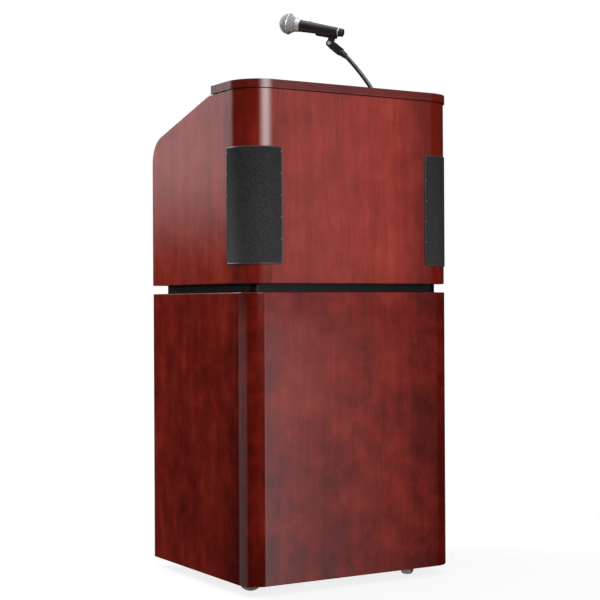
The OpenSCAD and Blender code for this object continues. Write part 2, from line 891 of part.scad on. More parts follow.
module clip_cradle() {
    x0 = cradle_x[0];
    x1 = cradle_x[1];
    span = [pivot[0] - tail_end[0], pivot[1] - tail_end[1]];
    px = span[0] * cos(mic_tilt) + span[1] * sin(mic_tilt);
    pz = span[1] * cos(mic_tilt) - span[0] * sin(mic_tilt);
    color(black) on_mic() difference() {
        union() {
            mic_bar(x0, x1, mic_r(x0) + cradle_wall, mic_r(x1) + cradle_wall);
            translate([x0, -5, -mic_r(x1) - cradle_wall - 1.5])
                cube([x1 - x0, 10, mic_r(x1)]);
            translate([px - lug_r, -lug_half, pz]) cube([2 * lug_r, 2 * lug_half, -pz - 10]);
            translate([px, 0, pz]) rotate([90, 0, 0])
                cylinder(h = 2 * lug_half, r = lug_r, center = true);
        }
        mic_bar(0, 2 * x1, mic_r(0) + cradle_play, mic_r(2 * x1) + cradle_play);
        translate([x0 - 1, -30, 4]) cube([x1, 60, 40]);
        translate([x0 + 22, -30, -3]) cube([x1, 60, 40]);
        translate([px, 0, pz]) rotate([90, 0, 0])
            cylinder(h = 60, r = bolt_r + running, center = true);
    }
}

// ---------- microphone ----------

module mic_body() {
    color(black) on_mic() difference() {
        union() {
            mic_bar(body_x[0], body_x[1], body_r[0], body_r[1]);
            mic_bar(body_x[1], collar_x1, stub_r + 4, stub_r + 4);
            mic_bar(collar_x1, head_x, stub_r, stub_r);
        }
        translate([switch_slot[0], -switch_half - 0.4, switch_floor])
            cube([switch_slot[1] - switch_slot[0], 2 * switch_half + 0.8, 10]);
    }
}

// Half outline of the head: a quarter disc in front and a cone behind
module head_outline(r, rim, back) {
    intersection() {
        circle(r, $fn = 96);
        square([r, r]);
    }
    polygon([[0, -back], [rim, -back], [r, 0], [0, 1]]);
}

// Wire ball and its basket in one skin, open towards the collar
module mic_head() {
    back = head_x - collar_x1;
    rim = collar_r[1] - 1;
    color(charcoal) on_mic() translate([head_x, 0, 0]) rotate([0, 90, 0]) rotate_extrude()
        difference() {
            head_outline(head_r, rim, back);
            head_outline(head_r - basket_t, rim - basket_t, back + 1);
        }
}

module mic_rings() {
    color(silver) on_mic() {
        translate([head_x - band_w / 2, 0, 0]) rotate([0, 90, 0]) rotate_extrude()
            translate([head_r, 0]) square([band_t, band_w]);
        difference() {
            mic_bar(body_x[1], collar_x1, collar_r[0], collar_r[1]);
            mic_bar(body_x[1] - 1, collar_x1 + 1, stub_r + 4, stub_r + 4);
        }
        difference() {
            mic_bar(ring_x[0], ring_x[1], ring_r, ring_r);
            mic_bar(ring_x[0] - 1, ring_x[1] + 1, stub_r, stub_r);
        }
    }
}

module mic_switch() {
    mid = (switch_slot[0] + switch_slot[1]) / 2;
    color(silver) on_mic() {
        translate([mid - 3 - switch_l / 2, -switch_half, switch_floor + 0.3])
            cube([switch_l, 2 * switch_half, 3.6]);
        translate([mid - 4.5, -switch_half, switch_floor + 3.8])
            cube([3, 2 * switch_half, 1.6]);
    }
}

module mic_tail() {
    color(black) on_mic() difference() {
        union() {
            mic_bar(0, 1.5, 8.6, 10);
            mic_bar(1.5, ring_x[0], 10, 10.4);
            mic_bar(ring_x[0], body_x[0], stub_r, stub_r);
        }
        for (turn = [0 : 15 : 345])
            rotate([turn, 0, 0]) translate([2.5, 0, 10.6]) rotate([0, 90, 0])
                cylinder(h = 6.5, r = 0.7, $fn = 16);
    }
}

base_shell();
base_top_panel();
base_bottom_panel();
base_shelf();
shelf_pins();
base_cleats();
riser_plinth();
locating_dowels();
caster_plates();
caster_screws();
caster_fork(0);  // caster_fork_fl
caster_fork(1);  // caster_fork_fr
caster_fork(2);  // caster_fork_rl
caster_fork(3);  // caster_fork_rr
caster_axle(0);  // caster_axle_fl
caster_axle(1);  // caster_axle_fr
caster_axle(2);  // caster_axle_rl
caster_axle(3);  // caster_axle_rr
caster_wheel(0);  // caster_wheel_fl
caster_wheel(1);  // caster_wheel_fr
caster_wheel(2);  // caster_wheel_rl
caster_wheel(3);  // caster_wheel_rr
brake_pedal(2);  // brake_pedal_rl
brake_pedal(3);  // brake_pedal_rr
upper_shell();
top_cap();
reading_desk();
book_stop();
upper_bottom_panel();
amp_shelf();
upper_cleats();
speaker_baffles();
speaker_baskets();
speaker_cones();
speaker_magnets();
grille_left();
grille_right();
grille_screws();
amp_chassis();
amp_board();
amp_faceplate();
knob(knob_xs[0]);  // knob_mic
knob(knob_xs[1]);  // knob_aux
knob(knob_xs[2]);  // knob_bass
knob(knob_xs[3]);  // knob_treble
power_switch();
input_jacks();
power_inlet();
neck_flange();
neck_lower();
neck_middle();
neck_upper();
clip_yoke();
clip_cradle();
clip_bolt();
mic_body();
mic_head();
mic_rings();
mic_switch();
mic_tail();
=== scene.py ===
"""Looks of the two-piece standing lectern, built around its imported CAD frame, in metres."""

import json
import math

import bmesh
import bpy
from mathutils import Matrix, Vector

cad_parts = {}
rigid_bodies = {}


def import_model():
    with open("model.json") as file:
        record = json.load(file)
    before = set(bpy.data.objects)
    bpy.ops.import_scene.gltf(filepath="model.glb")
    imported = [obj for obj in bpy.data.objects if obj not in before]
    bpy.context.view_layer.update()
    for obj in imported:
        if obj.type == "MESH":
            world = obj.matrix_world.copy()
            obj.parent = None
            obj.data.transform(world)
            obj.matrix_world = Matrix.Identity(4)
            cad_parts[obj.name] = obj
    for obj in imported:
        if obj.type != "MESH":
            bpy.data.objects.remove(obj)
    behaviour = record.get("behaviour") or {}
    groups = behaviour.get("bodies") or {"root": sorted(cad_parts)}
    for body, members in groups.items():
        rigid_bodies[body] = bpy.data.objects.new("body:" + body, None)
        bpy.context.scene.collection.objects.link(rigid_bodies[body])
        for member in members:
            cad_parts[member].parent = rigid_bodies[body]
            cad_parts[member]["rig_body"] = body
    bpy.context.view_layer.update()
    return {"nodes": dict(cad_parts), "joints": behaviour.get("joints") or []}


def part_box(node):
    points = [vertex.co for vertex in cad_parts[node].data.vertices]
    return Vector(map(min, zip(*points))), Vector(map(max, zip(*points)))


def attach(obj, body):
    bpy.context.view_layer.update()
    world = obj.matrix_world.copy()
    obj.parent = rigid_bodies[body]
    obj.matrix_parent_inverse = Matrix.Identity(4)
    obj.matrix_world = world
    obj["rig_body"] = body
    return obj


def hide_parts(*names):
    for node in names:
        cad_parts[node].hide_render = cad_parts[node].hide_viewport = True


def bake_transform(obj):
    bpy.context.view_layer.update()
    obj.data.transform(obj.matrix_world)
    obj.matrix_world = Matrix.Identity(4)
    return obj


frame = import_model()
JOINTS = {joint["name"]: joint for joint in frame["joints"]}

# ---------- sizes that the CAD boxes don't give, in metres ----------

BOARD = 0.018
BASE_CORNER = 0.048
TOP_CORNER = 0.075
CAP_OVER = 0.0035
RISER_CORNER = 0.023
REAR_ROUND = 0.066
DESK_SLOPE = math.radians(15.3)
DESK_START = -0.008
DESK_END = 0.280
DESK_RECESS = 0.015
DESK_THICK = 0.015
SLOPE_START_Y = -0.070
STOP_THICK = 0.014
STOP_HEIGHT = 0.036
STOP_RISE = 0.011
WOOD_EDGE = 0.0020
REAR_EDGE = 0.002
PIN_R = 0.0025
PIN_HOLE_Y = (-0.150, 0.180)
PIN_HOLE_PITCH = 0.032
PIN_HOLE_DEPTH = 0.011
PIN_HOLE_STEPS = range(-2, 3)

WHEEL_R = 0.030
WHEEL_HALF = 0.012
HUB_HALF = 0.0129
TYRE_BORE = 0.0225
TREAD_CROWN = 0.0016
TREAD_SHOULDER = 0.0022
SHOULDER_START = 0.86
AXLE_R = 0.003
CASTERS = ("fl", "fr", "rl", "rr")

GRILLE_CORNER = 0.010
GRILLE_RIM = 0.0032
GRILLE_FRONT_X = 0.200
GRILLE_BENDS = 26
HOLE_PITCH = 0.0026
ROW_PITCH = 0.866  # of the hole pitch, for staggered rows
HOLE_EDGE = (0.27, 0.36)  # of the hole pitch, from the middle of the hole

NECK_R = 0.00525
NECK_RIB = 0.00016
NECK_PITCH = 0.0017
NECK_BEND_Z = 1.189
NECK_BEND_R = 0.040
NECK_BEND_TURN = math.radians(34)
NECK_SWEEP_R = 0.650
NECK_END_ANGLE = math.radians(46.6)
NECK_SPREAD = 0.010
NECK_SIDES = 24
RINGS_PER_RIB = 5
NECK_LOOK_STEP = 0.0005
NECK_LOOK_STEPS = 400

# The microphone's tail is placed along the neck's upright plane and by height. The rest is measured
# from there: the handle's start and end along the microphone's own line, and its radius at both.
MIC_TAIL = (0.0749, 1.3476)
MIC_BODY = (0.014, 0.116)
MIC_BODY_R = (0.011, 0.015)
MIC_COLLAR_END = 0.129
MIC_HEAD_X = 0.1464
MIC_HEAD_R = 0.0263
MIC_HEAD_RIM = 0.0160
MIC_STUB_R = 0.008
MIC_BAND = (0.0013, 0.0007)  # half its width, and how far it bulges
MESH_CUTS = 37
MESH_WIRE_WIDTH = 0.00046
MESH_INSET = 0.0003
FOAM_INSET = 0.0011
CONE_ROWS = 15

KNOBS = {"mic": -0.160, "aux": -0.110, "bass": -0.060, "treble": -0.010}
PANEL_Z = 0.990
MARK_START = 0.0136
MARK_HALF = 0.00025
MARK_LENGTHS = (0.0022, 0.0013)  # long and short
MARK_COUNT = 11
MARK_STEP = 30
POINTER_HALF = 0.0005
POINTER_START, POINTER_END = 0.0022, 0.0078
SCREW_R = 0.0036

SHARP_ANGLE = math.radians(38)  # edges that turn more than this are drawn sharp
ROUND_ANGLE = math.radians(32)  # edges that turn more than this are rounded
FLAT_ANGLE = math.radians(0.2)  # faces that turn less than this become one
SAME_POINT = 0.000002

# ---------- materials ----------

# Wood: how far the grain's lines and bands are drawn out, the scales of its noises per metre, and
# how much the finest lines and the broadest clouds count beside the bands and the blotches.
LINE_STRETCH = 0.016
BAND_STRETCH = 0.06
LINE_SCALE, BAND_SCALE, BLOTCH_SCALE, CLOUD_SCALE, PORE_SCALE = 400, 34, 17, 4.2, 950
WANDER_SCALE, WANDER_REACH = 3.2, 0.045
LINE_SHARE = 0.9
CLOUD_SHARE = 0.7
TONE_STOPS = (0.22, 0.50, 0.78)
# Painted shade darkens the stain between these distances from the middle, heights and depths.
SHADE_OFFSET = 0.035
SHADE_ACROSS, SHADE_UP, SHADE_AHEAD = (0.13, 0.28), (0.0, 0.42), (-0.21, -0.12)
SHADE_FOOT = 0.6


class Nodes:
    """Builds one node tree with short calls."""

    def __init__(self, tree):
        self.tree = tree

    def add(self, kind, **settings):
        node = self.tree.nodes.new("ShaderNode" + kind)
        for key, value in settings.items():
            setattr(node, key, value)
        return node

    def link(self, source, target):
        self.tree.links.new(source, target)

    def feed(self, socket, value):
        if isinstance(value, bpy.types.NodeSocket):
            self.link(value, socket)
        else:
            socket.default_value = value

    def math(self, operation, a, b=0.0, c=0.0):
        node = self.add("Math", operation=operation)
        for socket, value in zip(node.inputs, (a, b, c)):
            self.feed(socket, value)
        return node.outputs[0]

    def stretch(self, vector, scale):
        node = self.add("Mapping")
        self.link(vector, node.inputs["Vector"])
        node.inputs["Scale"].default_value = scale
        return node.outputs[0]

    def noise(self, vector, scale, detail=3.0, roughness=0.5, distortion=0.0):
        node = self.add("TexNoise")
        self.link(vector, node.inputs["Vector"])
        node.inputs["Scale"].default_value = scale
        node.inputs["Detail"].default_value = detail
        node.inputs["Roughness"].default_value = roughness
        node.inputs["Distortion"].default_value = distortion
        return node.outputs["Fac"]

    def wander(self, vector, scale, reach):
        """Moves coordinates about by a slow noise, so that straight lines wander."""
        node = self.add("VectorMath", operation="MULTIPLY_ADD")
        self.link(self.noise(vector, scale, 2), node.inputs[0])
        node.inputs[1].default_value = (reach, reach, reach)
        self.link(vector, node.inputs[2])
        return node.outputs["Vector"]

    def remap(self, value, low, high, to_low, to_high):
        node = self.add("MapRange")
        self.feed(node.inputs["Value"], value)
        node.inputs["From Min"].default_value = low
        node.inputs["From Max"].default_value = high
        node.inputs["To Min"].default_value = to_low
        node.inputs["To Max"].default_value = to_high
        return node.outputs["Result"]

    def smooth(self, value, low, high):
        node = self.add("MapRange", interpolation_type="SMOOTHSTEP")
        self.feed(node.inputs["Value"], value)
        node.inputs["From Min"].default_value = low
        node.inputs["From Max"].default_value = high
        return node.outputs["Result"]

    def ramp(self, value, stops):
        node = self.add("ValToRGB")
        self.link(value, node.inputs["Fac"])
        elements = node.color_ramp.elements
        while len(elements) < len(stops):
            elements.new(0.5)
        for element, (place, colour) in zip(elements, stops):
            element.position = place
            element.color = (*colour, 1.0)
        return node.outputs["Color"]

    def mix(self, factor, a, b):
        node = self.add("Mix", data_type="RGBA")
        self.feed(node.inputs[0], factor)
        for socket, value in zip((node.inputs[6], node.inputs[7]), (a, b)):
            if isinstance(value, tuple):
                value = (*value, 1.0)
            self.feed(socket, value)
        return node.outputs[2]

    def inverse(self, value):
        return self.math("SUBTRACT", 1.0, value)

    def band(self, value, low, high, soft):
        """1 between low and high, fading over soft on both sides of each."""
        rise = self.smooth(value, low - soft, low + soft)
        fall = self.inverse(self.smooth(value, high - soft, high + soft))
        return self.math("MULTIPLY", rise, fall)

    def split(self, vector):
        node = self.add("SeparateXYZ")
        self.link(vector, node.inputs[0])
        return node.outputs

    def bump(self, height, distance, strength, normal=None):
        node = self.add("Bump")
        self.link(height, node.inputs["Height"])
        node.inputs["Distance"].default_value = distance
        node.inputs["Strength"].default_value = strength
        if normal is not None:
            self.link(normal, node.inputs["Normal"])
        return node.outputs["Normal"]


def new_material(name):
    """(material, its Nodes, its Principled shader, object coordinates)"""
    material = bpy.data.materials.new(name)
    material.use_nodes = True
    nodes = Nodes(material.node_tree)
    shader = material.node_tree.nodes["Principled BSDF"]
    place = nodes.add("TexCoord").outputs["Object"]
    return material, nodes, shader, place


def painted_shade_share(n, place):
    """How strongly painted shade darkens the stain: towards the front corners and the foot of the
    front.
    """
    x, y, z = n.split(place)
    outward = n.smooth(n.math("ABSOLUTE", n.math("ADD", x, SHADE_OFFSET)), *SHADE_ACROSS)
    foot = n.inverse(n.smooth(z, *SHADE_UP))
    ahead = n.inverse(n.smooth(y, *SHADE_AHEAD))
    return n.math("MULTIPLY", n.math("MULTIPLY_ADD", foot, SHADE_FOOT, outward), ahead)


def drawn_out(along, share):
    """Scale that draws a texture out along one axis."""
    return [share if axis == along else 1.0 for axis in "XYZ"]


def veneer(name, tones, along, streak, mottle, shade_depth=0.0, polish=0.10):
    """Stained wood under polished lacquer. tones are dark, middle and light; along is the grain's
    direction; streak and mottle say how strongly the tone varies in lines along the grain and in
    blotches; burn darkens the front with painted shade, as painted_shade_share says; polish is the
    roughness."""
    material, n, shader, place = new_material(name)
    grain = n.wander(place, WANDER_SCALE, WANDER_REACH)
    fine = n.stretch(grain, drawn_out(along, LINE_STRETCH))
    broad = n.stretch(grain, drawn_out(along, BAND_STRETCH))
    lines = n.noise(fine, LINE_SCALE, 4, 0.62)
    bands = n.noise(broad, BAND_SCALE, 4, 0.62, 0.15)
    blotch = n.noise(place, BLOTCH_SCALE, 4, 0.58, 0.3)
    clouds = n.noise(place, CLOUD_SCALE, 1, 0.5)
    spread = (LINE_SHARE + 1) * streak + (CLOUD_SHARE + 1) * mottle
    tone = n.math("MULTIPLY_ADD", lines, LINE_SHARE * streak, 0.5 - 0.5 * spread)
    tone = n.math("MULTIPLY_ADD", bands, streak, tone)
    tone = n.math("MULTIPLY_ADD", blotch, mottle, tone)
    tone = n.math("MULTIPLY_ADD", clouds, CLOUD_SHARE * mottle, tone)
    # Painted shade: the tone darkens towards the front corners and the foot of the front.
    if shade_depth:
        tone = n.math("MULTIPLY_ADD", painted_shade_share(n, place), -shade_depth, tone)
    colour = n.ramp(tone, list(zip(TONE_STOPS, tones)))
    pores = n.remap(n.noise(fine, PORE_SCALE, 2, 0.6), 0.56, 0.76, 0.0, 0.26)
    n.link(n.mix(pores, colour, tones[0]), shader.inputs["Base Color"])
    n.link(n.remap(blotch, 0.3, 0.7, polish - 0.015, polish + 0.025), shader.inputs["Roughness"])
    wave = n.bump(n.noise(place, 13, 1, 0.4), 0.0010, 0.10)
    n.link(n.bump(lines, 0.00003, 0.2, wave), shader.inputs["Normal"])
    return material


def coarse_wood(name):
    """Sanded softwood without lacquer, for the loudspeaker boards."""
    material, n, shader, place = new_material(name)
    streaks = n.noise(n.stretch(place, (1.0, 0.06, 1.0)), 120, 4, 0.6, 0.4)
    blotch = n.noise(place, 14, 3)
    dark, middle, light = (0.30, 0.17, 0.08), (0.50, 0.33, 0.18), (0.62, 0.44, 0.26)
    colour = n.ramp(streaks, [(0.32, dark), (0.52, middle), (0.70, light)])
    stained = n.mix(n.remap(blotch, 0.35, 0.7, 0.0, 0.35), colour, (0.34, 0.20, 0.10))
    n.link(stained, shader.inputs["Base Color"])
    n.link(n.remap(streaks, 0.3, 0.7, 0.55, 0.75), shader.inputs["Roughness"])
    n.link(n.bump(streaks, 0.00025, 0.6), shader.inputs["Normal"])
    return material


def speckled(name, low, high, rough, grain_size, bump, metallic=0.0, shine=0.5):
    """One family for paint, plastic, rubber and metal: fine grain between the colours low and high,
    soft blotches and uneven gloss. grain_size and bump are in metres."""
    material, n, shader, place = new_material(name)
    grain = n.noise(place, 1.0 / grain_size, 3, 0.6)
    blotch = n.noise(place, 22, 3, 0.55)
    tone = n.math("MULTIPLY_ADD", grain, 0.55, n.math("MULTIPLY", blotch, 0.45))
    n.link(n.ramp(tone, [(0.32, low), (0.68, high)]), shader.inputs["Base Color"])
    worn = n.noise(place, 60, 4, 0.6)
    n.link(n.remap(worn, 0.3, 0.7, rough * 0.82, rough * 1.18), shader.inputs["Roughness"])
    n.link(n.bump(grain, bump, 0.6), shader.inputs["Normal"])
    shader.inputs["Metallic"].default_value = metallic
    shader.inputs["Specular IOR Level"].default_value = shine
    return material


def perforated(name):
    """Black painted steel with staggered round holes, laid out on the piece's own UV in metres."""
    material, n, shader, place = new_material(name)
    u, v, _ = n.split(n.add("UVMap", uv_map="sheet").outputs["UV"])
    row = n.math("DIVIDE", v, HOLE_PITCH * ROW_PITCH)
    shift = n.math("MULTIPLY", n.math("MODULO", n.math("FLOOR", row), 2.0), 0.5)
    column = n.math("ADD", n.math("DIVIDE", u, HOLE_PITCH), shift)
    across = n.math("SUBTRACT", n.math("FRACT", column), 0.5)
    up = n.math("MULTIPLY", n.math("SUBTRACT", n.math("FRACT", row), 0.5), ROW_PITCH)
    squares = n.math("ADD", n.math("MULTIPLY", across, across), n.math("MULTIPLY", up, up))
    land = n.smooth(n.math("SQRT", squares), *HOLE_EDGE)
    dust = n.noise(place, 430, 3, 0.65)
    blotch = n.noise(n.stretch(place, (1.0, 1.0, 2.0)), 190, 2)
    tone = n.math("MULTIPLY_ADD", dust, 0.5, n.math("MULTIPLY", blotch, 0.5))
    paint = n.ramp(tone, [(0.34, (0.022, 0.021, 0.022)), (0.66, (0.064, 0.062, 0.063))])
    # The holes are coloured near-black: painted shade for the dark inside that shows through them.
    n.link(n.mix(land, (0.004, 0.004, 0.004), paint), shader.inputs["Base Color"])
    n.link(n.remap(dust, 0.3, 0.7, 0.5, 0.72), shader.inputs["Roughness"])
    fine = n.bump(dust, 0.0001, 0.6)
    n.link(n.bump(land, 0.0006, 0.8, fine), shader.inputs["Normal"])
    shader.inputs["Specular IOR Level"].default_value = 0.05
    return material


def circuit_board(name):
    """Green solder mask with fine tracks."""
    material, n, shader, place = new_material(name)
    tracks = n.add("TexBrick")
    n.link(place, tracks.inputs["Vector"])
    tracks.inputs["Scale"].default_value = 90
    tracks.inputs["Mortar Size"].default_value = 0.03
    tracks.inputs["Color1"].default_value = (0.010, 0.10, 0.035, 1)
    tracks.inputs["Color2"].default_value = (0.014, 0.13, 0.045, 1)
    tracks.inputs["Mortar"].default_value = (0.05, 0.22, 0.09, 1)
    dust = n.noise(place, 300, 3)
    dusty = n.mix(n.remap(dust, 0.4, 0.8, 0.0, 0.25), tracks.outputs["Color"], (0.10, 0.12, 0.10))
    n.link(dusty, shader.inputs["Base Color"])
    n.link(n.remap(dust, 0.3, 0.7, 0.25, 0.42), shader.inputs["Roughness"])
    n.link(n.bump(tracks.outputs["Fac"], 0.0001, 0.4), shader.inputs["Normal"])
    return material


TOP_TONES = ((0.120, 0.008, 0.004), (0.220, 0.019, 0.010), (0.320, 0.038, 0.020))
BASE_TONES = ((0.066, 0.0036, 0.0018), (0.158, 0.0100, 0.0052), (0.245, 0.025, 0.012))
CAP_TONES = ((0.046, 0.004, 0.003), (0.100, 0.010, 0.007), (0.155, 0.019, 0.012))
DESK_TONES = ((0.100, 0.008, 0.005), (0.190, 0.018, 0.010), (0.290, 0.036, 0.019))
INNER_TONES = ((0.085, 0.010, 0.006), (0.160, 0.022, 0.012), (0.240, 0.044, 0.024))
# The top and the base carry painted shade towards their front corners and feet, set by the last number.
TOP_WOOD = veneer("top_veneer", TOP_TONES, "Z", 0.52, 0.46, 0.30)
BASE_WOOD = veneer("base_veneer", BASE_TONES, "Z", 0.34, 0.66, 0.20)
CAP_WOOD = veneer("cap_veneer", CAP_TONES, "X", 0.48, 0.44)
DESK_WOOD = veneer("desk_veneer", DESK_TONES, "X", 0.50, 0.48)
INNER_WOOD = veneer("inner_veneer", INNER_TONES, "X", 0.50, 0.52, polish=0.34)
RAW_WOOD = coarse_wood("raw_wood")
RISER_PAINT = speckled("riser_paint", (0.003, 0.003, 0.005), (0.007, 0.007, 0.010),
                       0.20, 0.0012, 0.00003, shine=0.25)
ZINC = speckled("zinc_plate", (0.36, 0.36, 0.37), (0.56, 0.56, 0.57),
                0.38, 0.0010, 0.00004, metallic=0.7)
STEEL = speckled("bright_steel", (0.62, 0.62, 0.63), (0.80, 0.80, 0.81),
                 0.30, 0.0006, 0.00002, metallic=0.6)
RUBBER = speckled("wheel_rubber", (0.20, 0.19, 0.195), (0.32, 0.305, 0.31), 0.55, 0.0007, 0.00006)
HUB_PLASTIC = speckled("hub_plastic", (0.10, 0.10, 0.105), (0.16, 0.16, 0.165), 0.45, 0.0009, 0.00004)
BLACK_METAL = speckled("black_metal", (0.010, 0.010, 0.011), (0.030, 0.030, 0.032),
                       0.40, 0.0006, 0.00004)
FACE_PAINT = speckled("face_paint", (0.012, 0.012, 0.013), (0.026, 0.026, 0.028), 0.48, 0.0005, 0.00005)
BLACK_PLASTIC = speckled("black_plastic", (0.006, 0.006, 0.007), (0.016, 0.016, 0.017),
                         0.40, 0.0005, 0.00003)
NECK_SKIN = speckled("neck_skin", (0.003, 0.003, 0.004), (0.007, 0.007, 0.008),
                     0.24, 0.0006, 0.00002, shine=1.0)
MIC_PAINT = speckled("mic_paint", (0.006, 0.006, 0.007), (0.014, 0.014, 0.015), 0.36, 0.0004, 0.00003)
MESH_WIRE = speckled("mesh_wire", (0.40, 0.40, 0.41), (0.50, 0.50, 0.51),
                     0.55, 0.0008, 0.00002, shine=0.3)
FOAM = speckled("mic_foam", (0.36, 0.36, 0.363), (0.45, 0.45, 0.454), 0.92, 0.0006, 0.0002)
CONE_PAPER = speckled("cone_paper", (0.020, 0.020, 0.021), (0.048, 0.047, 0.046), 0.82, 0.0008, 0.00015)
GRILLE_SHEET = perforated("grille_sheet")
GRILLE_EDGE = speckled("grille_edge", (0.016, 0.016, 0.017), (0.036, 0.036, 0.038),
                       0.50, 0.0006, 0.00005)
SCREW_METAL = speckled("screw_metal", (0.09, 0.09, 0.093), (0.17, 0.17, 0.175),
                       0.40, 0.0005, 0.00002, metallic=0.9)
CIRCUIT = circuit_board("circuit")
MARK_PAINT = speckled("mark_paint", (0.62, 0.62, 0.61), (0.78, 0.78, 0.77), 0.5, 0.0008, 0.00002)

# ---------- making pieces ----------


def smooth_shading(bm):
    """Draws every face smooth, and every edge that turns clearly sharp."""
    bmesh.ops.recalc_face_normals(bm, faces=bm.faces)
    for face in bm.faces:
        face.smooth = True
    for edge in bm.edges:
        if len(edge.link_faces) == 2:
            edge.smooth = edge.calc_face_angle() < SHARP_ANGLE


def new_object(name, bm, *materials):
    """Turns a bmesh into an object in the scene."""
    mesh = bpy.data.meshes.new(name)
    bm.to_mesh(mesh)
    bm.free()
    for material in materials:
        mesh.materials.append(material)
    obj = bpy.data.objects.new(name, mesh)
    bpy.context.scene.collection.objects.link(obj)
    return obj


def piece(name, bm, body, material, stands_for=(), weighted=True):
    """Turns a bmesh into a finished piece that rides on a CAD body. material is one or a list;
    weighted keeps large faces flat beside their rounded edges."""
    smooth_shading(bm)
    obj = new_object(name, bm, *(material if isinstance(material, list) else [material]))
    if weighted:
        modifier = obj.modifiers.new("flat_faces", "WEIGHTED_NORMAL")
        modifier.weight = 100
        modifier.keep_sharp = True
    if body:
        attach(obj, body)
    if stands_for:
        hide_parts(*stands_for)
    return obj


def round_edges(bm, width, segments=3):
    """Rounds every edge that turns more than ROUND_ANGLE."""
    sharp = [e for e in bm.edges if len(e.link_faces) == 2 and e.calc_face_angle() > ROUND_ANGLE]
    bmesh.ops.bevel(bm, geom=sharp, offset=width, offset_type="OFFSET", segments=segments,
                    profile=0.5, affect="EDGES", clamp_overlap=True)


def loft(bm, rings, caps=True):
    """Joins rings of points that have equal counts; returns the side faces."""
    rows = [[bm.verts.new(p) for p in ring] for ring in rings]
    count = len(rows[0])
    sides = []
    for a, b in zip(rows, rows[1:]):
        for i in range(count):
            j = (i + 1) % count
            sides.append(bm.faces.new((a[i], a[j], b[j], b[i])))
    if caps:
        bm.faces.new(rows[0][::-1])
        bm.faces.new(rows[-1])
    return sides


def arc(x, y, radius, start, end, steps):
    """Points on a plan arc, angles in degrees."""
    points = []
    for i in range(steps + 1):
        turn = math.radians(start + (end - start) * i / steps)
        points.append((x + radius * math.cos(turn), y + radius * math.sin(turn)))
    return points


def front_corners(half, front, radius, inset, steps=28):
    """Plan line from the start of the left front corner to the end of the right one."""
    left = arc(-half + radius, front + radius, radius - inset, 180, 270, steps)
    right = arc(half - radius, front + radius, radius - inset, 270, 360, steps)
    return left + right


def lathe(bm, profile, matrix, segments):
    """Turns (distance along, radius) points about the matrix's X axis. A radius of 0 is one point."""
    turns = [2 * math.pi * i / segments for i in range(segments)]
    rows = []
    for x, r in profile:
        ring = [Vector((x, r * math.cos(t), r * math.sin(t))) for t in (turns if r else turns[:1])]
        rows.append([bm.verts.new(matrix @ point) for point in ring])
    for a, b in zip(rows, rows[1:]):
        for i in range(segments):
            j = (i + 1) % segments
            corners = [a[i % len(a)], a[j % len(a)], b[j % len(b)], b[i % len(b)]]
            bm.faces.new(list(dict.fromkeys(corners)))
    return rows


def closed_lathe(bm, profile, matrix, segments):
    """A lathe of a closed outline, such as a ring."""
    rows = lathe(bm, profile, matrix, segments)
    for i in range(segments):
        j = (i + 1) % segments
        bm.faces.new((rows[-1][i], rows[-1][j], rows[0][j], rows[0][i]))


def rounded_profile(x0, x1, r, edge):
    """Solid of revolution from x0 to x1 with rounded ends."""
    steps = [math.radians(a) for a in (0, 30, 60, 90)]
    start = [(x0 + edge * (1 - math.sin(a)), r - edge * (1 - math.cos(a))) for a in reversed(steps)]
    end = [(x1 - edge * (1 - math.sin(a)), r - edge * (1 - math.cos(a))) for a in steps]
    return [(x0, 0.0)] + start + end + [(x1, 0.0)]


def axis_matrix(origin, direction):
    """Matrix whose X axis is the given direction, at the given origin."""
    turn = Vector((1, 0, 0)).rotation_difference(Vector(direction).normalized())
    return Matrix.Translation(Vector(origin)) @ turn.to_matrix().to_4x4()


def block(bm, low, high, matrix=None):
    """Adds a box between two corners; its edges are rounded later."""
    made = bmesh.ops.create_cube(bm, size=1.0)["verts"]
    size = [b - a for a, b in zip(low, high)]
    middle = [(a + b) / 2 for a, b in zip(low, high)]
    place = Matrix.Translation(middle) @ Matrix.Diagonal((*size, 1.0))
    bmesh.ops.transform(bm, matrix=(matrix or Matrix.Identity(4)) @ place, verts=made)


def refined(node, material, width):
    """A finer copy of a CAD node: joined vertices, rounded edges and smooth shading."""
    source = frame["nodes"][node]
    bm = bmesh.new()
    bm.from_mesh(source.data)
    bmesh.ops.remove_doubles(bm, verts=bm.verts, dist=SAME_POINT)
    bmesh.ops.dissolve_limit(bm, angle_limit=FLAT_ANGLE, verts=bm.verts, edges=bm.edges)
    round_edges(bm, width, 2)
    return piece(node + "_piece", bm, source["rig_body"], material, (node,))


# ---------- base cabinet ----------


def wall_rings(outer, inner, low, high):
    """Cross-sections of a wall between two plan lines."""
    rings = []
    for (xo, yo), (xi, yi) in zip(outer, inner):
        rings.append([(xo, yo, low), (xo, yo, high), (xi, yi, high), (xi, yi, low)])
    return rings


def mark_inner(faces):
    """Gives the inner side of a wall made from wall_rings the second material."""
    for face in faces[2::4]:
        face.material_index = 1


def pin_holes(inside):
    """Rods to cut out of the side walls, at five heights and two depths on each side."""
    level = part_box("base_shelf")[0].z - PIN_R
    rod = [(0.0, 0.0), (0.0, PIN_R), (PIN_HOLE_DEPTH, PIN_R), (PIN_HOLE_DEPTH, 0.0)]
    bm = bmesh.new()
    for side in (-1, 1):
        for y in PIN_HOLE_Y:
            for step in PIN_HOLE_STEPS:
                mouth = (side * (inside - 0.001), y, level + step * PIN_HOLE_PITCH)
                lathe(bm, rod, axis_matrix(mouth, (side, 0, 0)), 24)
    bmesh.ops.recalc_face_normals(bm, faces=bm.faces)
    return bm


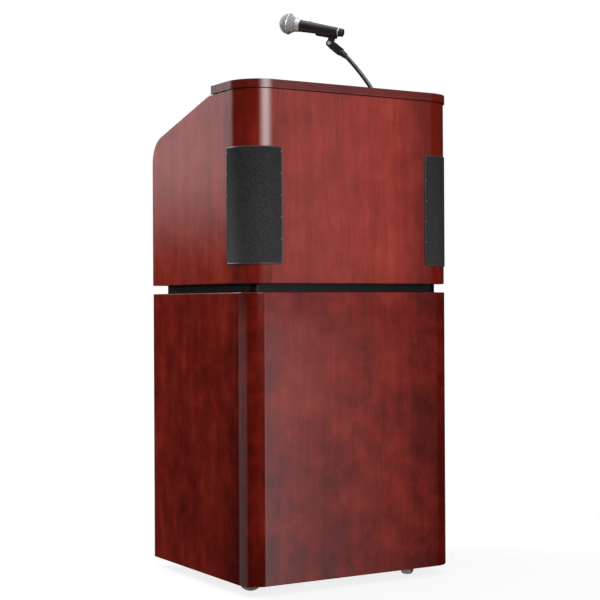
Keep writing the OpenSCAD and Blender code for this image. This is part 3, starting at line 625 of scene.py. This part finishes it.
def cut(bm, cutter):
    """Subtracts one closed bmesh from another and returns the result."""
    whole = new_object("cut_whole", bm, BASE_WOOD, INNER_WOOD)
    tool = new_object("cut_tool", cutter, BASE_WOOD, INNER_WOOD)
    modifier = whole.modifiers.new("cut", "BOOLEAN")
    modifier.object = tool
    modifier.solver = "EXACT"
    evaluated = whole.evaluated_get(bpy.context.evaluated_depsgraph_get())
    result = bmesh.new()
    result.from_mesh(evaluated.to_mesh())
    evaluated.to_mesh_clear()
    for obj in (whole, tool):
        mesh = obj.data
        bpy.data.objects.remove(obj)
        bpy.data.meshes.remove(mesh)
    return result


def base_cabinet():
    """Wall bent round three sides, with rows of shelf-pin holes inside."""
    low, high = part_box("base_shell")
    half, front, rear = high.x, low.y, high.y
    inside = half - BOARD
    outer = [(-half, rear)] + front_corners(half, front, BASE_CORNER, 0) + [(half, rear)]
    inner = [(-inside, rear)] + front_corners(half, front, BASE_CORNER, BOARD) + [(inside, rear)]
    bm = bmesh.new()
    mark_inner(loft(bm, wall_rings(outer, inner, low.z, high.z)))
    bmesh.ops.recalc_face_normals(bm, faces=bm.faces)
    round_edges(bm, WOOD_EDGE)
    bm = cut(bm, pin_holes(inside))
    piece("base_cabinet", bm, "base", [BASE_WOOD, INNER_WOOD], ("base_shell",))


def slab(name, node, radius, body, material, edge):
    """Level board with two round front corners, its edges rounded."""
    low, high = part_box(node)
    x, y = high.x - REAR_EDGE, high.y - REAR_EDGE
    plan = front_corners(high.x, low.y, radius, 0)
    plan += arc(x, y, REAR_EDGE, 0, 90, 4) + arc(-x, y, REAR_EDGE, 90, 180, 4)
    bm = bmesh.new()
    loft(bm, [[(px, py, z) for px, py in plan] for z in (low.z, high.z)])
    round_edges(bm, edge)
    piece(name, bm, body, material, (node,))


def base_boards():
    """The three level boards inside the base, and the black block on it that leaves the gap."""
    inner_corner = BASE_CORNER - BOARD
    for name, node, edge in (
        ("base_top_board", "base_top_panel", 0.0006),
        ("base_floor_board", "base_bottom_panel", 0.0006),
        ("base_shelf_board", "base_shelf", 0.0010),
    ):
        slab(name, node, inner_corner, "base", INNER_WOOD, edge)
    slab("riser_block", "riser_plinth", RISER_CORNER, "base", RISER_PAINT, 0.0010)


# ---------- top unit ----------


def side_outline(low, high):
    """Side wall in (y, z), from the front corner's top down the slope and round the rear."""
    drop = (high.y - SLOPE_START_Y) * math.tan(DESK_SLOPE)
    tangent = REAR_ROUND * math.tan((math.pi / 2 - DESK_SLOPE) / 2)
    centre = (high.y - REAR_ROUND, high.z - drop - tangent)
    round_corner = arc(*centre, REAR_ROUND, 90 - math.degrees(DESK_SLOPE), 0, 20)
    start = low.y + TOP_CORNER
    return [(start, high.z), (SLOPE_START_Y, high.z)] + round_corner + [(high.y, low.z), (start, low.z)]


def side_wall(bm, side, half, outline):
    """Side wall of the top unit, open towards the front corner; side is -1 or 1."""
    outer, inner = [[bm.verts.new((side * x, y, z)) for y, z in outline] for x in (half, half - BOARD)]
    bm.faces.new(outer)
    bm.faces.new(inner).material_index = 1
    for i in range(len(outline) - 1):
        bm.faces.new((outer[i], outer[i + 1], inner[i + 1], inner[i]))


def upper_cabinet():
    """Front wall with two large round corners, and the side walls."""
    low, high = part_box("upper_shell")
    bm = bmesh.new()
    outer = front_corners(high.x, low.y, TOP_CORNER, 0)
    inner = front_corners(high.x, low.y, TOP_CORNER, BOARD)
    mark_inner(loft(bm, wall_rings(outer, inner, low.z, high.z), caps=False))
    for side in (-1, 1):
        side_wall(bm, side, high.x, side_outline(low, high))
    bmesh.ops.remove_doubles(bm, verts=bm.verts, dist=SAME_POINT)
    bmesh.ops.recalc_face_normals(bm, faces=bm.faces)
    round_edges(bm, WOOD_EDGE)
    piece("upper_cabinet", bm, "lectern", [TOP_WOOD, INNER_WOOD], ("upper_shell",))


def on_slope():
    """Frame of the reading desk: X across, Y down the slope, Z square to it."""
    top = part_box("upper_shell")[1].z
    return Matrix.Translation((0, SLOPE_START_Y, top)) @ Matrix.Rotation(-DESK_SLOPE, 4, "X")


def desk_parts():
    """The sloping reading surface and the ledge at its lower edge."""
    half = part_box("reading_desk")[1].x
    desk = bmesh.new()
    low = (-half, DESK_START, -DESK_RECESS - DESK_THICK)
    block(desk, low, (half, DESK_END, -DESK_RECESS), on_slope())
    round_edges(desk, 0.0006)
    piece("reading_surface", desk, "lectern", DESK_WOOD, ("reading_desk",))
    stop = bmesh.new()
    foot = STOP_RISE - DESK_RECESS - STOP_HEIGHT
    block(stop, (-half, DESK_END, foot), (half, DESK_END + STOP_THICK, foot + STOP_HEIGHT), on_slope())
    round_edges(stop, 0.0040, 5)
    piece("book_ledge", stop, "lectern", DESK_WOOD, ("book_stop",))


def amplifier_shelf():
    """Level board that carries the amplifier."""
    bm = bmesh.new()
    block(bm, *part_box("amp_shelf"))
    round_edges(bm, 0.0008)
    piece("amp_shelf_board", bm, "lectern", INNER_WOOD, ("amp_shelf",))


# ---------- grilles ----------


def rim_ring(length, height, inset, rise):
    """Rounded rectangle on the flat sheet, at an inset from its edge."""
    ring = []
    for x, y, start in ((length, height, 0), (0, height, 90), (0, 0, 180), (length, 0, 270)):
        middle_x = x + (-GRILLE_CORNER if x else GRILLE_CORNER)
        middle_y = y + (-GRILLE_CORNER if y else GRILLE_CORNER)
        ring += arc(middle_x, middle_y, GRILLE_CORNER - inset, start, start + 90, 8)
    return [(x, y, rise) for x, y in ring]


def flat_sheet(length, height):
    """The grille before it is bent: a rolled rim round a field of holes, with a UV in metres."""
    rim = ((0.0, 0.0), (0.0, 0.0016), (0.0004, 0.0024), (0.0010, 0.0029), (0.0018, 0.0030),
           (0.0026, 0.0027), (GRILLE_RIM, 0.0024))
    rings = [rim_ring(length, height, inset, rise) for inset, rise in rim]
    bm = bmesh.new()
    for face in loft(bm, rings, caps=False):
        face.material_index = 1
    bm.verts.ensure_lookup_table()
    bm.faces.new(bm.verts[-len(rings[-1]):])
    return bm


def cut_into_strips(bm, start, length):
    """Cuts the flat sheet across where it will be bent."""
    for i in range(GRILLE_BENDS + 1):
        everything = list(bm.verts) + list(bm.edges) + list(bm.faces)
        place = (start + length * i / GRILLE_BENDS, 0, 0)
        bmesh.ops.bisect_plane(bm, geom=everything, dist=1e-7, plane_co=place, plane_no=(1, 0, 0))


def keep_flat_uv(bm):
    """Stores the flat sheet's own coordinates, which its holes are laid out on."""
    uv = bm.loops.layers.uv.new("sheet")
    for face in bm.faces:
        for loop in face.loops:
            loop[uv].uv = loop.vert.co.xy


def bent(u, rise, start):
    """Plan place of a point of the sheet after the bend, from the centre of the left corner."""
    turn = min(max((u - start) / TOP_CORNER, 0.0), math.pi / 2)
    straight = u - start - turn * TOP_CORNER
    reach = TOP_CORNER + rise
    x = -reach * math.cos(turn) + straight * math.sin(turn)
    y = -reach * math.sin(turn) - straight * math.cos(turn)
    return x, y


def grille(name, node, side):
    """Thin steel cover bent round a front corner; side is -1 or 1."""
    low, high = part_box(node)
    wall_low, wall_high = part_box("upper_shell")
    corner = (wall_high.x - TOP_CORNER, wall_low.y + TOP_CORNER)
    side_flat = high.y - corner[1]
    bend = TOP_CORNER * math.pi / 2
    bm = flat_sheet(side_flat + bend + corner[0] - GRILLE_FRONT_X, high.z - low.z)
    cut_into_strips(bm, side_flat, bend)
    keep_flat_uv(bm)
    for vert in bm.verts:
        u, z, rise = vert.co
        x, y = bent(u, rise, side_flat)
        vert.co = (-side * (x - corner[0]), corner[1] + y, low.z + z)
    materials = [GRILLE_SHEET, GRILLE_EDGE]
    piece(name, bm, "lectern", materials, (node,), weighted=False)


# ---------- casters ----------


def crown(across):
    """Radius of the tread at -1 to 1 across the tyre: slightly crowned, with round shoulders."""
    shoulder = max(0.0, abs(across) - SHOULDER_START) / (1 - SHOULDER_START)
    return WHEEL_R - TREAD_CROWN * across ** 2 - TREAD_SHOULDER * shoulder


def wheel(key):
    """Tyre with a crowned tread on a hub with a thin web."""
    joint = JOINTS["wheel_spin_" + key]
    matrix = axis_matrix(joint["pos_m"], joint["axis"])
    body = "wheel_" + key
    tread = [(across * WHEEL_HALF, crown(across)) for across in [-1 + i / 6 for i in range(13)]]
    bore = [(WHEEL_HALF - 0.0004, TYRE_BORE), (-WHEEL_HALF + 0.0004, TYRE_BORE)]
    tyre = bmesh.new()
    closed_lathe(tyre, tread + bore, matrix, 72)
    round_edges(tyre, 0.0004, 2)
    piece("tyre_" + key, tyre, body, RUBBER, ("caster_wheel_" + key,))
    outline = [(HUB_HALF, AXLE_R + 0.0002), (HUB_HALF, 0.0076), (HUB_HALF - 0.001, 0.0082),
               (0.0092, 0.0088), (0.0085, 0.0112), (0.0085, 0.0186), (0.0098, 0.0204), (0.0112, 0.0226)]
    mirrored = [(-x, r) for x, r in reversed(outline)]
    hub = bmesh.new()
    closed_lathe(hub, outline + mirrored, matrix, 72)
    piece("hub_" + key, hub, body, HUB_PLASTIC)


# ---------- neck, clip and microphone ----------

FOOT = Vector(JOINTS["neck_swivel"]["pos_m"])
HINGE_AXIS = Vector(JOINTS["neck_bend_low"]["axis"])
HEADING = Vector((0, 0, 1)).cross(HINGE_AXIS).normalized()
if HEADING.y < 0:
    HEADING.negate()


def in_plane(along, height):
    """Point of the neck's upright plane."""
    return Vector((FOOT.x, FOOT.y, 0)) + HEADING * along + Vector((0, 0, height))


def neck_lengths():
    """Lengths of the neck's upright stretch, its bend and its long sweep."""
    rise = NECK_BEND_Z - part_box("neck_lower")[0].z
    sweep = math.pi / 2 - NECK_BEND_TURN - NECK_END_ANGLE
    return rise, NECK_BEND_R * NECK_BEND_TURN, NECK_SWEEP_R * sweep


def neck_line(length):
    """(point, direction) at a distance along the neck from its foot."""
    rise, bend, _ = neck_lengths()
    if length < rise:
        return in_plane(0, NECK_BEND_Z - rise + length), Vector((0, 0, 1))
    if length < rise + bend:
        turn = (length - rise) / NECK_BEND_R
        point = in_plane(NECK_BEND_R * (1 - math.cos(turn)), NECK_BEND_Z + NECK_BEND_R * math.sin(turn))
        return point, HEADING * math.sin(turn) + Vector((0, 0, math.cos(turn)))
    first = math.pi / 2 - NECK_BEND_TURN
    angle = first - (length - rise - bend) / NECK_SWEEP_R
    x = NECK_BEND_R * (1 - math.cos(NECK_BEND_TURN))
    x += NECK_SWEEP_R * (math.sin(first) - math.sin(angle))
    z = NECK_BEND_Z + NECK_BEND_R * math.sin(NECK_BEND_TURN)
    z += NECK_SWEEP_R * (math.cos(angle) - math.cos(first))
    return in_plane(x, z), HEADING * math.cos(angle) + Vector((0, 0, math.sin(angle)))


def neck_length_at(joint):
    """Distance along the neck that is nearest to a joint."""
    target = Vector(JOINTS[joint]["pos_m"])
    steps = [i * NECK_LOOK_STEP for i in range(NECK_LOOK_STEPS)]
    return min(steps, key=lambda s: (neck_line(s)[0] - target).length)


def neck_ring(length):
    """Ring of points round the neck, narrower between two ribs."""
    point, direction = neck_line(length)
    up = HINGE_AXIS.cross(direction)
    groove = 0.5 - 0.5 * math.cos(2 * math.pi * length / NECK_PITCH)
    radius = NECK_R - NECK_RIB * groove ** 2
    turns = [2 * math.pi * k / NECK_SIDES for k in range(NECK_SIDES)]
    return [point + (HINGE_AXIS * math.cos(t) + up * math.sin(t)) * radius for t in turns]


def neck_tube(name, start, end, joint, stands_for):
    """One half of the ribbed flexible neck, which runs across its joint."""
    steps = int((end - start) / (NECK_PITCH / RINGS_PER_RIB))
    bm = bmesh.new()
    loft(bm, [neck_ring(start + (end - start) * i / steps) for i in range(steps + 1)])
    tube = piece(name, bm, None, NECK_SKIN, stands_for, weighted=False)
    middle = neck_length_at(joint)
    tuple(neck_line(middle - NECK_SPREAD)[0])
    tuple(neck_line(middle + NECK_SPREAD)[0])
    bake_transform(tube)


def neck():
    """Both halves of the neck, which meet midway between its two joints."""
    seam = (neck_length_at("neck_bend_low") + neck_length_at("neck_bend_high")) / 2
    for name, start, end, bodies, joint, stands_for in (
        ("neck_tube_low", 0.0, seam, ("neck_base", "neck_mid"), "neck_bend_low",
         ("neck_lower", "neck_middle")),
        ("neck_tube_high", seam, sum(neck_lengths()), ("neck_mid", "neck_top"), "neck_bend_high",
         ("neck_upper",)),
    ):
        neck_tube(name, start, end, joint, stands_for)


MIC_FRAME = axis_matrix(in_plane(*MIC_TAIL), JOINTS["mic_slide"]["axis"])


def mic_radius(x):
    """Radius of the tapering handle at a distance along the microphone."""
    share = (x - MIC_BODY[0]) / (MIC_BODY[1] - MIC_BODY[0])
    return MIC_BODY_R[0] + (MIC_BODY_R[1] - MIC_BODY_R[0]) * share


def mic_body():
    """Tapering handle with rounded ends."""
    x0, x1 = MIC_BODY
    profile = [(x0, 0.0), (x0, MIC_STUB_R), (x0 + 0.0002, 0.0104), (x0 + 0.0010, 0.01095)]
    profile += [(x, mic_radius(x)) for x in (0.030, 0.050, 0.070, 0.090, 0.108)]
    profile += [(x1 - 0.0008, mic_radius(x1) - 0.0001), (x1, mic_radius(x1) - 0.0006)]
    profile += [(x1 + 0.0002, 0.0132), (x1 + 0.0006, 0.0120), (x1 + 0.004, 0.0)]
    bm = bmesh.new()
    lathe(bm, profile, MIC_FRAME, 64)
    piece("mic_handle", bm, "mic", MIC_PAINT, ("mic_body",), weighted=False)


def mic_rings():
    """Stepped collar below the head, thin ring before the tail, and band round the head's middle."""
    x0, x1 = MIC_BODY[1] + 0.0006, MIC_COLLAR_END
    steps = ((0.0, 0.0122), (0.0, 0.0148), (0.0006, 0.0156), (0.0036, 0.0159), (0.0040, 0.0154),
             (0.0048, 0.0154), (0.0052, 0.0161), (0.0086, 0.0168), (0.0090, 0.0163),
             (0.0098, 0.0163), (0.0102, 0.0170))
    collar = [(x0 + along, r) for along, r in steps]
    collar += [(x1 - 0.0006, 0.0172), (x1, 0.0166), (x1, 0.0122)]
    tail = [(0.0110, 0.0080), (0.0110, 0.0106), (0.0114, 0.0110), (0.0134, 0.0110), (0.0138, 0.0106),
            (0.0138, 0.0080)]
    half, rise = MIC_BAND
    middle = MIC_HEAD_R - 0.0001
    turns = [2 * math.pi * i / 10 for i in range(10)]
    band = [(MIC_HEAD_X + half * math.cos(t), middle + rise * math.sin(t)) for t in turns]
    bm = bmesh.new()
    closed_lathe(bm, collar, MIC_FRAME, 64)
    closed_lathe(bm, tail, MIC_FRAME, 64)
    closed_lathe(bm, band, MIC_FRAME, 72)
    piece("mic_bright_rings", bm, "mic", STEEL, ("mic_rings",), weighted=False)


def front_half_ball(bm):
    """Front half of the head as a grid of even squares: a subdivided cube drawn onto a ball."""
    bmesh.ops.create_cube(bm, size=2.0)
    bmesh.ops.subdivide_edges(bm, edges=bm.edges, cuts=MESH_CUTS, use_grid_fill=True)
    for vert in bm.verts:
        spread = [math.tan(c * math.pi / 4) for c in vert.co]
        vert.co = Vector(spread).normalized() * (MIC_HEAD_R - MESH_INSET)
    rear = [v for v in bm.verts if v.co.x < -0.0002]
    bmesh.ops.delete(bm, geom=rear, context="VERTS")
    place = MIC_FRAME @ Matrix.Translation((MIC_HEAD_X, 0, 0))
    bmesh.ops.transform(bm, matrix=place, verts=bm.verts)


def wire_ball():
    """Woven wire ball, with a conical wire basket behind the equator band."""
    wires = bmesh.new()
    front_half_ball(wires)
    length, widening = MIC_HEAD_X - MIC_COLLAR_END, MIC_HEAD_R - MESH_INSET - MIC_HEAD_RIM
    shares = [i / CONE_ROWS for i in range(CONE_ROWS + 1)]
    cone = [(MIC_COLLAR_END + length * share, MIC_HEAD_RIM + widening * share) for share in shares]
    lathe(wires, cone, MIC_FRAME, 96)
    ball = piece("mic_wire_ball", wires, "mic", MESH_WIRE, ("mic_head",), weighted=False)
    weave = ball.modifiers.new("wires", "WIREFRAME")
    weave.thickness = MESH_WIRE_WIDTH
    weave.use_replace = True
    weave.use_even_offset = False


def foam_ball():
    """Foam inside the wire ball."""
    radius = MIC_HEAD_R - FOAM_INSET
    base_x = MIC_COLLAR_END + 0.0002
    turns = [math.pi / 2 * i / 14 for i in range(14)]
    profile = [(base_x, 0.0), (base_x, MIC_HEAD_RIM - 0.0009)]
    profile += [(MIC_HEAD_X + radius * math.sin(t), radius * math.cos(t)) for t in turns]
    profile += [(MIC_HEAD_X + radius, 0.0)]
    foam = bmesh.new()
    lathe(foam, profile, MIC_FRAME, 64)
    piece("mic_foam_ball", foam, "mic", FOAM, weighted=False)


# ---------- amplifier trim ----------


def knob_scales(face):
    """Marks round each knob, with longer ones at both ends and in the middle."""
    marks = bmesh.new()
    for x in KNOBS.values():
        for i in range(MARK_COUNT):
            turn = math.radians(MARK_STEP * (i - MARK_COUNT // 2))
            matrix = Matrix.Translation((x, face, PANEL_Z)) @ Matrix.Rotation(turn, 4, "Y")
            length = MARK_LENGTHS[0 if i % 5 == 0 else 1]
            low = (-MARK_HALF, -0.0001, MARK_START)
            block(marks, low, (MARK_HALF, 0.00015, MARK_START + length), matrix)
    piece("knob_scales", marks, "lectern", MARK_PAINT, weighted=False)


def plate_screws(low, high):
    """Rounded screw heads in the corners of the front plate."""
    head = rounded_profile(-0.001, 0.0016, SCREW_R, 0.0009)
    screws = bmesh.new()
    for x in (low.x + 0.010, high.x - 0.010):
        for z in (low.z + 0.010, high.z - 0.012):
            lathe(screws, head, axis_matrix((x, high.y, z), (0, 1, 0)), 24)
    piece("plate_screws", screws, "lectern", SCREW_METAL, weighted=False)


def knob_line(key, x):
    """Pointer line on a knob, which turns with it."""
    line = bmesh.new()
    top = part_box("knob_" + key)[1].y
    low = (x - POINTER_HALF, top - 0.0011, PANEL_Z + POINTER_START)
    block(line, low, (x + POINTER_HALF, top - 0.0004, PANEL_Z + POINTER_END))
    piece("knob_line_" + key, line, "dial_" + key, MARK_PAINT, weighted=False)


def panel_trim():
    """Small details of the amplifier's front plate."""
    low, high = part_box("amp_faceplate")
    knob_scales(high.y)
    plate_screws(low, high)
    for key, x in KNOBS.items():
        knob_line(key, x)


# ---------- build ----------

base_cabinet()
base_boards()
upper_cabinet()
slab("cap_board", "top_cap", TOP_CORNER + CAP_OVER, "lectern", CAP_WOOD, 0.0022)
slab("upper_floor_board", "upper_bottom_panel", TOP_CORNER - BOARD, "lectern", INNER_WOOD,
     0.0008)
desk_parts()
amplifier_shelf()
grille("grille_cover_left", "grille_left", -1)
grille("grille_cover_right", "grille_right", 1)
for key in CASTERS:
    wheel(key)
    refined("caster_fork_" + key, ZINC, 0.0004)
    refined("caster_axle_" + key, STEEL, 0.0004)
for key in ("rl", "rr"):
    refined("brake_pedal_" + key, BLACK_PLASTIC, 0.0006)
for node, material, slot, width in (
    ("base_cleats", INNER_WOOD, "raw_wood", 0.0008),
    ("upper_cleats", INNER_WOOD, "raw_wood", 0.0008),
    ("shelf_pins", STEEL, "bright_metal", 0.0004),
    ("locating_dowels", STEEL, "bright_metal", 0.0008),
    ("caster_plates", ZINC, "zinc", 0.0004),
    ("caster_screws", STEEL, "bright_metal", 0.0003),
    ("speaker_baffles", RAW_WOOD, "raw_wood", 0.0008),
    ("speaker_baskets", BLACK_METAL, "black_metal", 0.0004),
    ("speaker_cones", CONE_PAPER, "cone_paper", 0.0003),
    ("speaker_magnets", ZINC, "zinc", 0.0010),
    ("grille_screws", SCREW_METAL, "bright_metal", 0.00015),
    ("amp_chassis", ZINC, "zinc", 0.0003),
    ("amp_board", CIRCUIT, "circuit", 0.0003),
    ("amp_faceplate", FACE_PAINT, "black_metal", 0.0005),
    *(("knob_" + key, BLACK_PLASTIC, "black_plastic", 0.0003) for key in KNOBS),
    ("power_switch", BLACK_PLASTIC, "black_plastic", 0.0005),
    ("input_jacks", STEEL, "bright_metal", 0.0003),
    ("power_inlet", BLACK_PLASTIC, "black_plastic", 0.0003),
    ("neck_flange", BLACK_METAL, "black_metal", 0.0006),
    ("clip_yoke", BLACK_PLASTIC, "black_plastic", 0.0010),
    ("clip_cradle", BLACK_PLASTIC, "black_plastic", 0.0005),
    ("clip_bolt", STEEL, "bright_metal", 0.0004),
    ("mic_switch", STEEL, "bright_metal", 0.0003),
    ("mic_tail", BLACK_PLASTIC, "black_plastic", 0.0002),
):
    refined(node, material, width)
neck()
mic_body()
mic_rings()
wire_ball()
foam_ball()
panel_trim()

# ---------- studio ----------

# Soft areas of the surroundings: azimuth from, to and softness, then elevation from, to and
# softness, in degrees, and brightness. Azimuth 0 is in front of the lectern, 90 towards +X.
SOFT_AREAS = (
    (-17, 13, 14, 4.5, 24, 2.2, 9.5),
    (-17, 13, 14, 1.0, 4.5, 1.5, 0.7),
    (-172, -134, 8, 3.5, 30, 2.2, 1.05),
    (19, 30, 2, -40, -0.3, 0.3, 1.0),
    (21, 34, 4, -40, -0.3, 0.3, 0.85),
    (-140, -82, 8, -40, -0.3, 0.3, 0.55),
    (20, 35, 5, 0.3, 26, 0.6, 0.8),
)
# Brightness at the horizon, and what sky, zenith and ground add, each fading in between two elevations.
HORIZON_LIGHT = 0.02
SKY_LIGHT, SKY_EDGE = 0.6, (16, 46)
ZENITH_LIGHT, ZENITH_EDGE = 2.2, (56, 78)
GROUND_LIGHT, GROUND_EDGE = 0.9, (-75, -35)
LIGHT_COLOUR = (1.0, 0.965, 1.01, 1.0)
WHITE = (1, 1, 1, 1)

# Two softboxes: azimuth, elevation, distance, size and power.
SOFTBOXES = (
    (-5, 32, 2.6, 1.1, 26.0),
    (-142, 32, 2.6, 1.1, 70.0),
)
AIM = Vector((0, 0, 0.75))

FLOOR_R = 3.2
FLOOR_TONE = 0.13
FLOOR_GLOW = 0.83
FLOOR_FADE = (0.7, 2.6)
BACKDROP_R = 14

# Camera, and how far it is turned: about Z from the +Y direction, upwards, and about its own line.
CAMERA_AT = (-1.845902, -3.058503, 0.667800)
CAMERA_AZIMUTH = math.radians(-31.067)
CAMERA_PITCH = math.radians(0.161)
CAMERA_ROLL = math.radians(-0.279)
CAMERA_LENS = 85.349
SENSOR_WIDTH = 36.0


def softboxes():
    """Square lights that face the lectern's middle."""
    for number, (azimuth, elevation, distance, size, power) in enumerate(SOFTBOXES):
        turn, rise = math.radians(azimuth), math.radians(elevation)
        level = math.cos(rise)
        towards = Vector((math.sin(turn) * level, -math.cos(turn) * level, math.sin(rise)))
        data = bpy.data.lights.new("softbox_%d" % number, "AREA")
        data.shape = "SQUARE"
        data.size = size
        data.energy = power
        obj = bpy.data.objects.new(data.name, data)
        bpy.context.scene.collection.objects.link(obj)
        aim = towards.to_track_quat("Z", "Y").to_matrix().to_4x4()
        obj.matrix_world = Matrix.Translation(AIM + towards * distance) @ aim
        obj.visible_camera = False


def surroundings():
    """Soft bright areas that the lacquer reflects, by their direction."""
    world = bpy.data.worlds.new("studio")
    world.use_nodes = True
    bpy.context.scene.world = world
    n = Nodes(world.node_tree)
    background = world.node_tree.nodes["Background"]
    x, y, z = n.split(n.add("TexCoord").outputs["Generated"])
    in_degrees = 180 / math.pi
    azimuth = n.math("MULTIPLY", n.math("ARCTAN2", x, n.math("MULTIPLY", y, -1.0)), in_degrees)
    elevation = n.math("MULTIPLY", n.math("ARCSINE", z), in_degrees)
    total = n.math("MULTIPLY_ADD", n.smooth(elevation, *SKY_EDGE), SKY_LIGHT, HORIZON_LIGHT)
    total = n.math("MULTIPLY_ADD", n.smooth(elevation, *ZENITH_EDGE), ZENITH_LIGHT, total)
    total = n.math("MULTIPLY_ADD", n.inverse(n.smooth(elevation, *GROUND_EDGE)), GROUND_LIGHT, total)
    for az_from, az_to, az_soft, el_from, el_to, el_soft, bright in SOFT_AREAS:
        across = n.band(azimuth, az_from, az_to, az_soft)
        up = n.band(elevation, el_from, el_to, el_soft)
        total = n.math("MULTIPLY_ADD", n.math("MULTIPLY", across, up), bright, total)
    n.link(total, background.inputs["Strength"])
    background.inputs["Color"].default_value = LIGHT_COLOUR


def studio_floor():
    """Pale floor that fades out into the pale backdrop."""
    bm = bmesh.new()
    bmesh.ops.create_circle(bm, cap_ends=True, radius=FLOOR_R, segments=96)
    material = bpy.data.materials.new("pale_floor")
    material.use_nodes = True
    n = Nodes(material.node_tree)
    shader = material.node_tree.nodes["Principled BSDF"]
    shader.inputs["Base Color"].default_value = (FLOOR_TONE, FLOOR_TONE, FLOOR_TONE, 1)
    shader.inputs["Roughness"].default_value = 1.0
    shader.inputs["Specular IOR Level"].default_value = 0.0
    shader.inputs["Emission Color"].default_value = WHITE
    shader.inputs["Emission Strength"].default_value = FLOOR_GLOW
    away = n.add("VectorMath", operation="LENGTH")
    n.link(n.add("TexCoord").outputs["Object"], away.inputs[0])
    n.link(n.inverse(n.smooth(away.outputs["Value"], *FLOOR_FADE)), shader.inputs["Alpha"])
    floor = new_object("studio_floor", bm, material)
    floor.visible_glossy = False
    floor.visible_diffuse = False


def backdrop():
    """White surround that only the camera sees."""
    bm = bmesh.new()
    bmesh.ops.create_icosphere(bm, subdivisions=4, radius=BACKDROP_R)
    material = bpy.data.materials.new("backdrop_white")
    material.use_nodes = True
    tree = material.node_tree
    tree.nodes.remove(tree.nodes["Principled BSDF"])
    glow = tree.nodes.new("ShaderNodeEmission")
    glow.inputs["Color"].default_value = WHITE
    tree.links.new(glow.outputs[0], tree.nodes["Material Output"].inputs["Surface"])
    dome = new_object("backdrop", bm, material)
    dome.visible_diffuse = False
    dome.visible_glossy = False
    dome.visible_transmission = False
    dome.visible_volume_scatter = False
    dome.visible_shadow = False


def camera():
    """Camera at the photo's angle."""
    azimuth, pitch, roll = CAMERA_AZIMUTH, CAMERA_PITCH, CAMERA_ROLL
    level = math.cos(pitch)
    ahead = Vector((-math.sin(azimuth) * level, math.cos(azimuth) * level, math.sin(pitch)))
    right = ahead.cross(Vector((0, 0, 1))).normalized()
    up = right.cross(ahead)
    turned_right = right * math.cos(roll) + up * math.sin(roll)
    turned_up = up * math.cos(roll) - right * math.sin(roll)
    data = bpy.data.cameras.new("camera")
    data.lens = CAMERA_LENS
    data.sensor_width = SENSOR_WIDTH
    obj = bpy.data.objects.new("camera", data)
    bpy.context.scene.collection.objects.link(obj)
    turn = Matrix((turned_right, turned_up, -ahead)).transposed()
    obj.matrix_world = Matrix.Translation(CAMERA_AT) @ turn.to_4x4()
    bpy.context.scene.camera = obj


surroundings()
softboxes()
studio_floor()
backdrop()
camera()
bpy.context.scene.view_settings.view_transform = "Standard"
